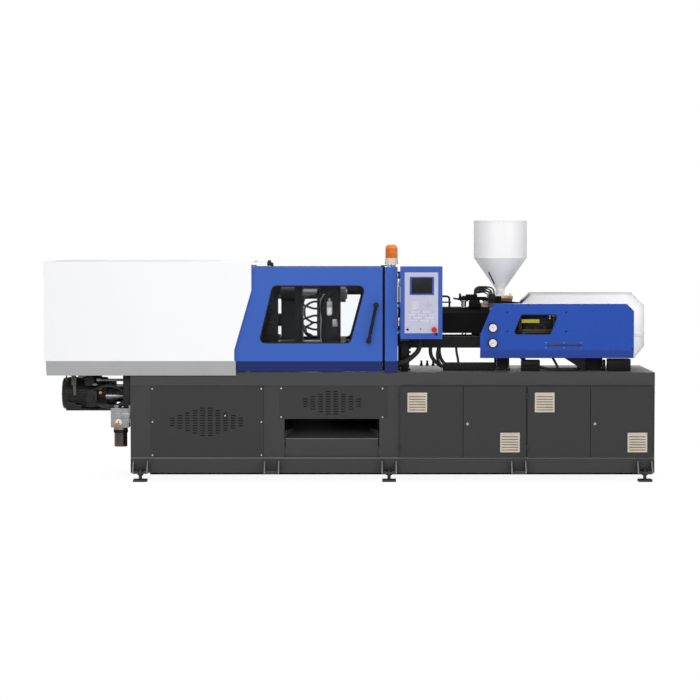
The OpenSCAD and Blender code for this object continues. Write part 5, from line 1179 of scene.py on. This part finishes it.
# Painted shade: a navy strip over the guard's slot, for the dark opening of the slot.
slot_z = 1.1915
slot_shade_strip = bmesh.new()
strip_front, strip_back = guard_face - 0.0025, guard_face + 0.0005
box_in(slot_shade_strip, (1.372, 1.655), (strip_front, strip_back), about(slot_z, 0.0095), 0.001, 2)
rod_in(slot_shade_strip, (1.664, strip_back, slot_z), (1.664, guard_face - 0.0060, slot_z), 0.014, sides=20)
piece_of(slot_shade_strip, "guard_slot_painted_shade", slot_shade_navy, "carriage")
slot_screws = bmesh.new()
for x in (1.360, 1.518, 1.670):
    for z in (slot_z + 0.0215, slot_z - 0.0225):
        dome_screw(slot_screws, x, guard_face, z, 0.005)
piece_of(slot_screws, "slot_strip_screws", plated, "carriage")
opening = edge_strip([(1.073, 1.289), (1.398, 1.289), (1.463, 1.460), (1.142, 1.460)], 0.022, 0.003, 0.004,
                     strip_back, strip_front)
piece_of(opening, "guard_opening_strip", latch_black, "carriage")

dial_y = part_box("pressure_gauges")[0].y
tick_count, tick_reach, first_tick, tick_step = 21, 0.0325, 225, 13.5
dials, marks, bezels = bmesh.new(), bmesh.new(), bmesh.new()
for z, pointer in ((1.346, 2.3), (1.211, 3.6)):
    at = Vector((0.889, dial_y, z))
    cap_in(dials, at, (0, -1, 0), 0.0350, 0.0355, 0.0012, 0.0004, -0.0006, 40)
    turned_in(bezels, [(0.0350, -0.002), (0.0352, 0.0046), (0.0385, 0.0060), (0.0430, 0.0035),
                       (0.0445, -0.002), (0.0445, -0.010), (0.0440, -0.0105)], at, (0, -1, 0), 48)
    for i in range(tick_count):
        long = 0.0060 if i % 5 == 0 else 0.0035
        tick = box_in(marks, (tick_reach - long, tick_reach), about(0, 0.0005), about(0, 0.0005), 0)
        set_round(marks, tick, at - Vector((0, 0.0016, 0)), math.radians(i * tick_step - first_tick), "Y")
    hand = box_in(marks, (-0.008, 0.024), about(0, 0.0005), about(0, 0.0010), 0.0003, 1)
    set_round(marks, hand, at - Vector((0, 0.0028, 0)), -pointer, "Y")
    turned_in(marks, [(0, 0.0046), (0.0032, 0.0042), (0.0036, 0.0020), (0.0036, 0.0010), (0, 0.0010)],
              at, (0, -1, 0), 14)
piece_of(dials, "gauge_dials", dial_white, "carriage")
piece_of(marks, "gauge_marks", latch_black, "carriage")
piece_of(bezels, "gauge_bezels", latch_black, "carriage")

# Painted shade: a dark steel strip along the tray's slanted corner, for its shaded end face.
tray_corner, tray_rise = (1.180, 0, 1.551), math.atan2(0.092, 0.094)
tray_shade_edge = bmesh.new()
strip = box_in(tray_shade_edge, (0.006, 0.122), (0.380, 0.392), (-0.026, 0.004), 0.002, 2)
set_round(tray_shade_edge, strip, tray_corner, -tray_rise, "Y")
piece_of(tray_shade_edge, "tray_edge_painted_shade", turned_steel, "carriage")

# Drive of the injection unit: a valve block and the linear scale, seen through the front guard's opening.
# The scale's bar is painted safety yellow; the guide under it is a dark olive.
yellow = painted("scale_yellow", (0.40, 0.40, 0.015), (0.55, 0.52, 0.10), 0.35, dust=0.1)
olive_bar = painted("olive_bar", (0.055, 0.048, 0.006), (0.16, 0.15, 0.03), 0.4, dust=0.1)
scale = bmesh.new()
box_in(scale, (1.135, 1.305), (-0.400, -0.382), (1.386, 1.419), 0.003, 2)
piece_of(scale, "scale_bar", yellow, "carriage")
guide = bmesh.new()
box_in(guide, (1.095, 1.420), (-0.360, -0.330), (1.300, 1.330), 0.004, 2)
box_in(guide, (1.112, 1.420), (-0.395, -0.360), (1.296, 1.304), 0.002, 2)
piece_of(guide, "scale_guide", olive_bar, "carriage")
block = bmesh.new()
box_in(block, (1.160, 1.440), (-0.300, -0.205), (1.300, 1.480), 0.008, 3)
box_in(block, (1.120, 1.150), (-0.400, -0.200), (1.2955, 1.470), 0.004, 2)
box_in(block, (1.425, 1.445), (-0.400, -0.200), (1.2955, 1.440), 0.004, 2)
for x in (1.20, 1.28, 1.36):
    box_in(block, about(x, 0.028), (-0.290, -0.215), (1.479, 1.535), 0.006, 3)
    rod_in(block, (x, -0.252, 1.340), (x, -0.324, 1.340), 0.017, sides=6)
piece_of(block, "valve_block", motor_black, "carriage")
fittings = bmesh.new()
for x in (1.405, 1.435):
    for z in (1.425, 1.445):
        cap_in(fittings, (x, -0.300, z), (0, -1, 0), 0.008, 0.010, 0.010, 0.006, -0.002, 16)
piece_of(fittings, "valve_fittings", plated, "carriage")

# On the deck under the injection unit: cable duct, terminal boxes, a filter block and screwed-down cleats.
# They are black, bolted to the deck, and joined by rubber hoses that stay clear of the carriage.
deck_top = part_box("carriage_rails")[0].z
duct = bmesh.new()
box_in(duct, (0.455, 0.925), (-0.300, -0.240), (deck_top, 1.030), 0.006, 3)
row_of_boxes(duct, 9, (0.050, 0, 0), (0.470, 0.500), (-0.3015, -0.2385), (0.962, 1.024), 0.002, 1)
box_in(duct, (1.150, 1.315), (-0.360, -0.265), (deck_top, 1.055), 0.006, 3)
box_in(duct, (1.165, 1.300), (-0.363, -0.262), (1.000, 1.040), 0.003, 2)
box_in(duct, (1.915, 2.120), (-0.380, -0.265), (deck_top, 1.066), 0.008, 3)
row_of_boxes(duct, 8, (0.024, 0, 0), (1.928, 1.938), (-0.384, -0.262), (0.968, 1.058), 0.002, 1)
box_in(duct, (1.880, 1.900), (-0.330, -0.260), (deck_top, 1.055), 0.003, 2)
for x in (0.286, 0.340, 0.395):
    rod_in(duct, (x, 0.545, deck_top), (x, 0.545, 0.974), 0.016, sides=6)
    rod_in(duct, (x, 0.545, 0.974), (x, 0.545, 1.004), 0.0095, sides=16)
gusset_corners = ((1.545, 1.064), (1.715, 0.9575), (1.715, 1.150), (1.545, 1.150))
for y in (-0.372, -0.2535):
    outline = [duct.verts.new((x, y, z)) for x, z in gusset_corners]
    gusset = bmesh.ops.extrude_face_region(duct, geom=[duct.faces.new(outline)])["geom"]
    far_side = [part for part in gusset if isinstance(part, bmesh.types.BMVert)]
    bmesh.ops.translate(duct, verts=far_side, vec=(0, 0.012, 0))
box_in(duct, (0.070, 0.150), (-0.470, -0.330), (1.060, 1.235), 0.010, 3)
row_of_boxes(duct, 4, (0, 0, 0.036), (0.146, 0.164), (-0.460, -0.400), (1.085, 1.103), 0.003, 2)
box_in(duct, (0.080, 0.140), (-0.440, -0.360), (deck_top, 1.062), 0.006, 2)
piece_of(duct, "deck_boxes", rail_black, "root")
hose("hose_deck_1", [
    (0.345, -0.215, 1.158), (0.344, -0.222, 1.130), (0.348, -0.232, 1.100), (0.360, -0.244, 1.070),
    (0.382, -0.254, 1.042), (0.410, -0.262, 1.018), (0.440, -0.268, 1.000), (0.456, -0.270, 0.996)],
    0.017, "root", hose_rubber)
hose("hose_deck_2", [
    (0.415, -0.218, 1.158), (0.409, -0.232, 1.128), (0.404, -0.250, 1.096), (0.408, -0.268, 1.062),
    (0.420, -0.280, 1.030), (0.438, -0.286, 1.004), (0.458, -0.286, 0.990)],
    0.013, "root", hose_rubber)
hose("hose_deck_3", [
    (0.575, -0.215, 1.158), (0.577, -0.232, 1.126), (0.582, -0.248, 1.094), (0.588, -0.258, 1.064),
    (0.592, -0.264, 1.030), (0.594, -0.266, 1.000), (0.595, -0.267, 0.975)],
    0.011, "root", hose_rubber)
hose("hose_deck_4", [
    (1.085, -0.232, 1.200), (1.092, -0.250, 1.180), (1.104, -0.276, 1.150), (1.118, -0.300, 1.120),
    (1.136, -0.318, 1.088), (1.160, -0.324, 1.066), (1.185, -0.322, 1.055)],
    0.013, "root", hose_rubber)
hose("hose_deck_5", [
    (1.316, -0.310, 0.990), (1.340, -0.316, 0.984), (1.380, -0.326, 0.976), (1.430, -0.334, 0.971),
    (1.490, -0.336, 0.970), (1.550, -0.332, 0.970), (1.610, -0.326, 0.970), (1.660, -0.318, 0.974),
    (1.700, -0.300, 0.990), (1.716, -0.272, 1.010), (1.720, -0.250, 1.030), (1.722, -0.236, 1.045)],
    0.012, "root", hose_rubber)
hose("hose_deck_6", [
    (1.300, -0.232, 1.230), (1.330, -0.250, 1.205), (1.372, -0.264, 1.160), (1.412, -0.272, 1.105),
    (1.446, -0.276, 1.050), (1.470, -0.278, 1.005), (1.490, -0.280, 0.957)],
    0.011, "root", hose_rubber)

low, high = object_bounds()
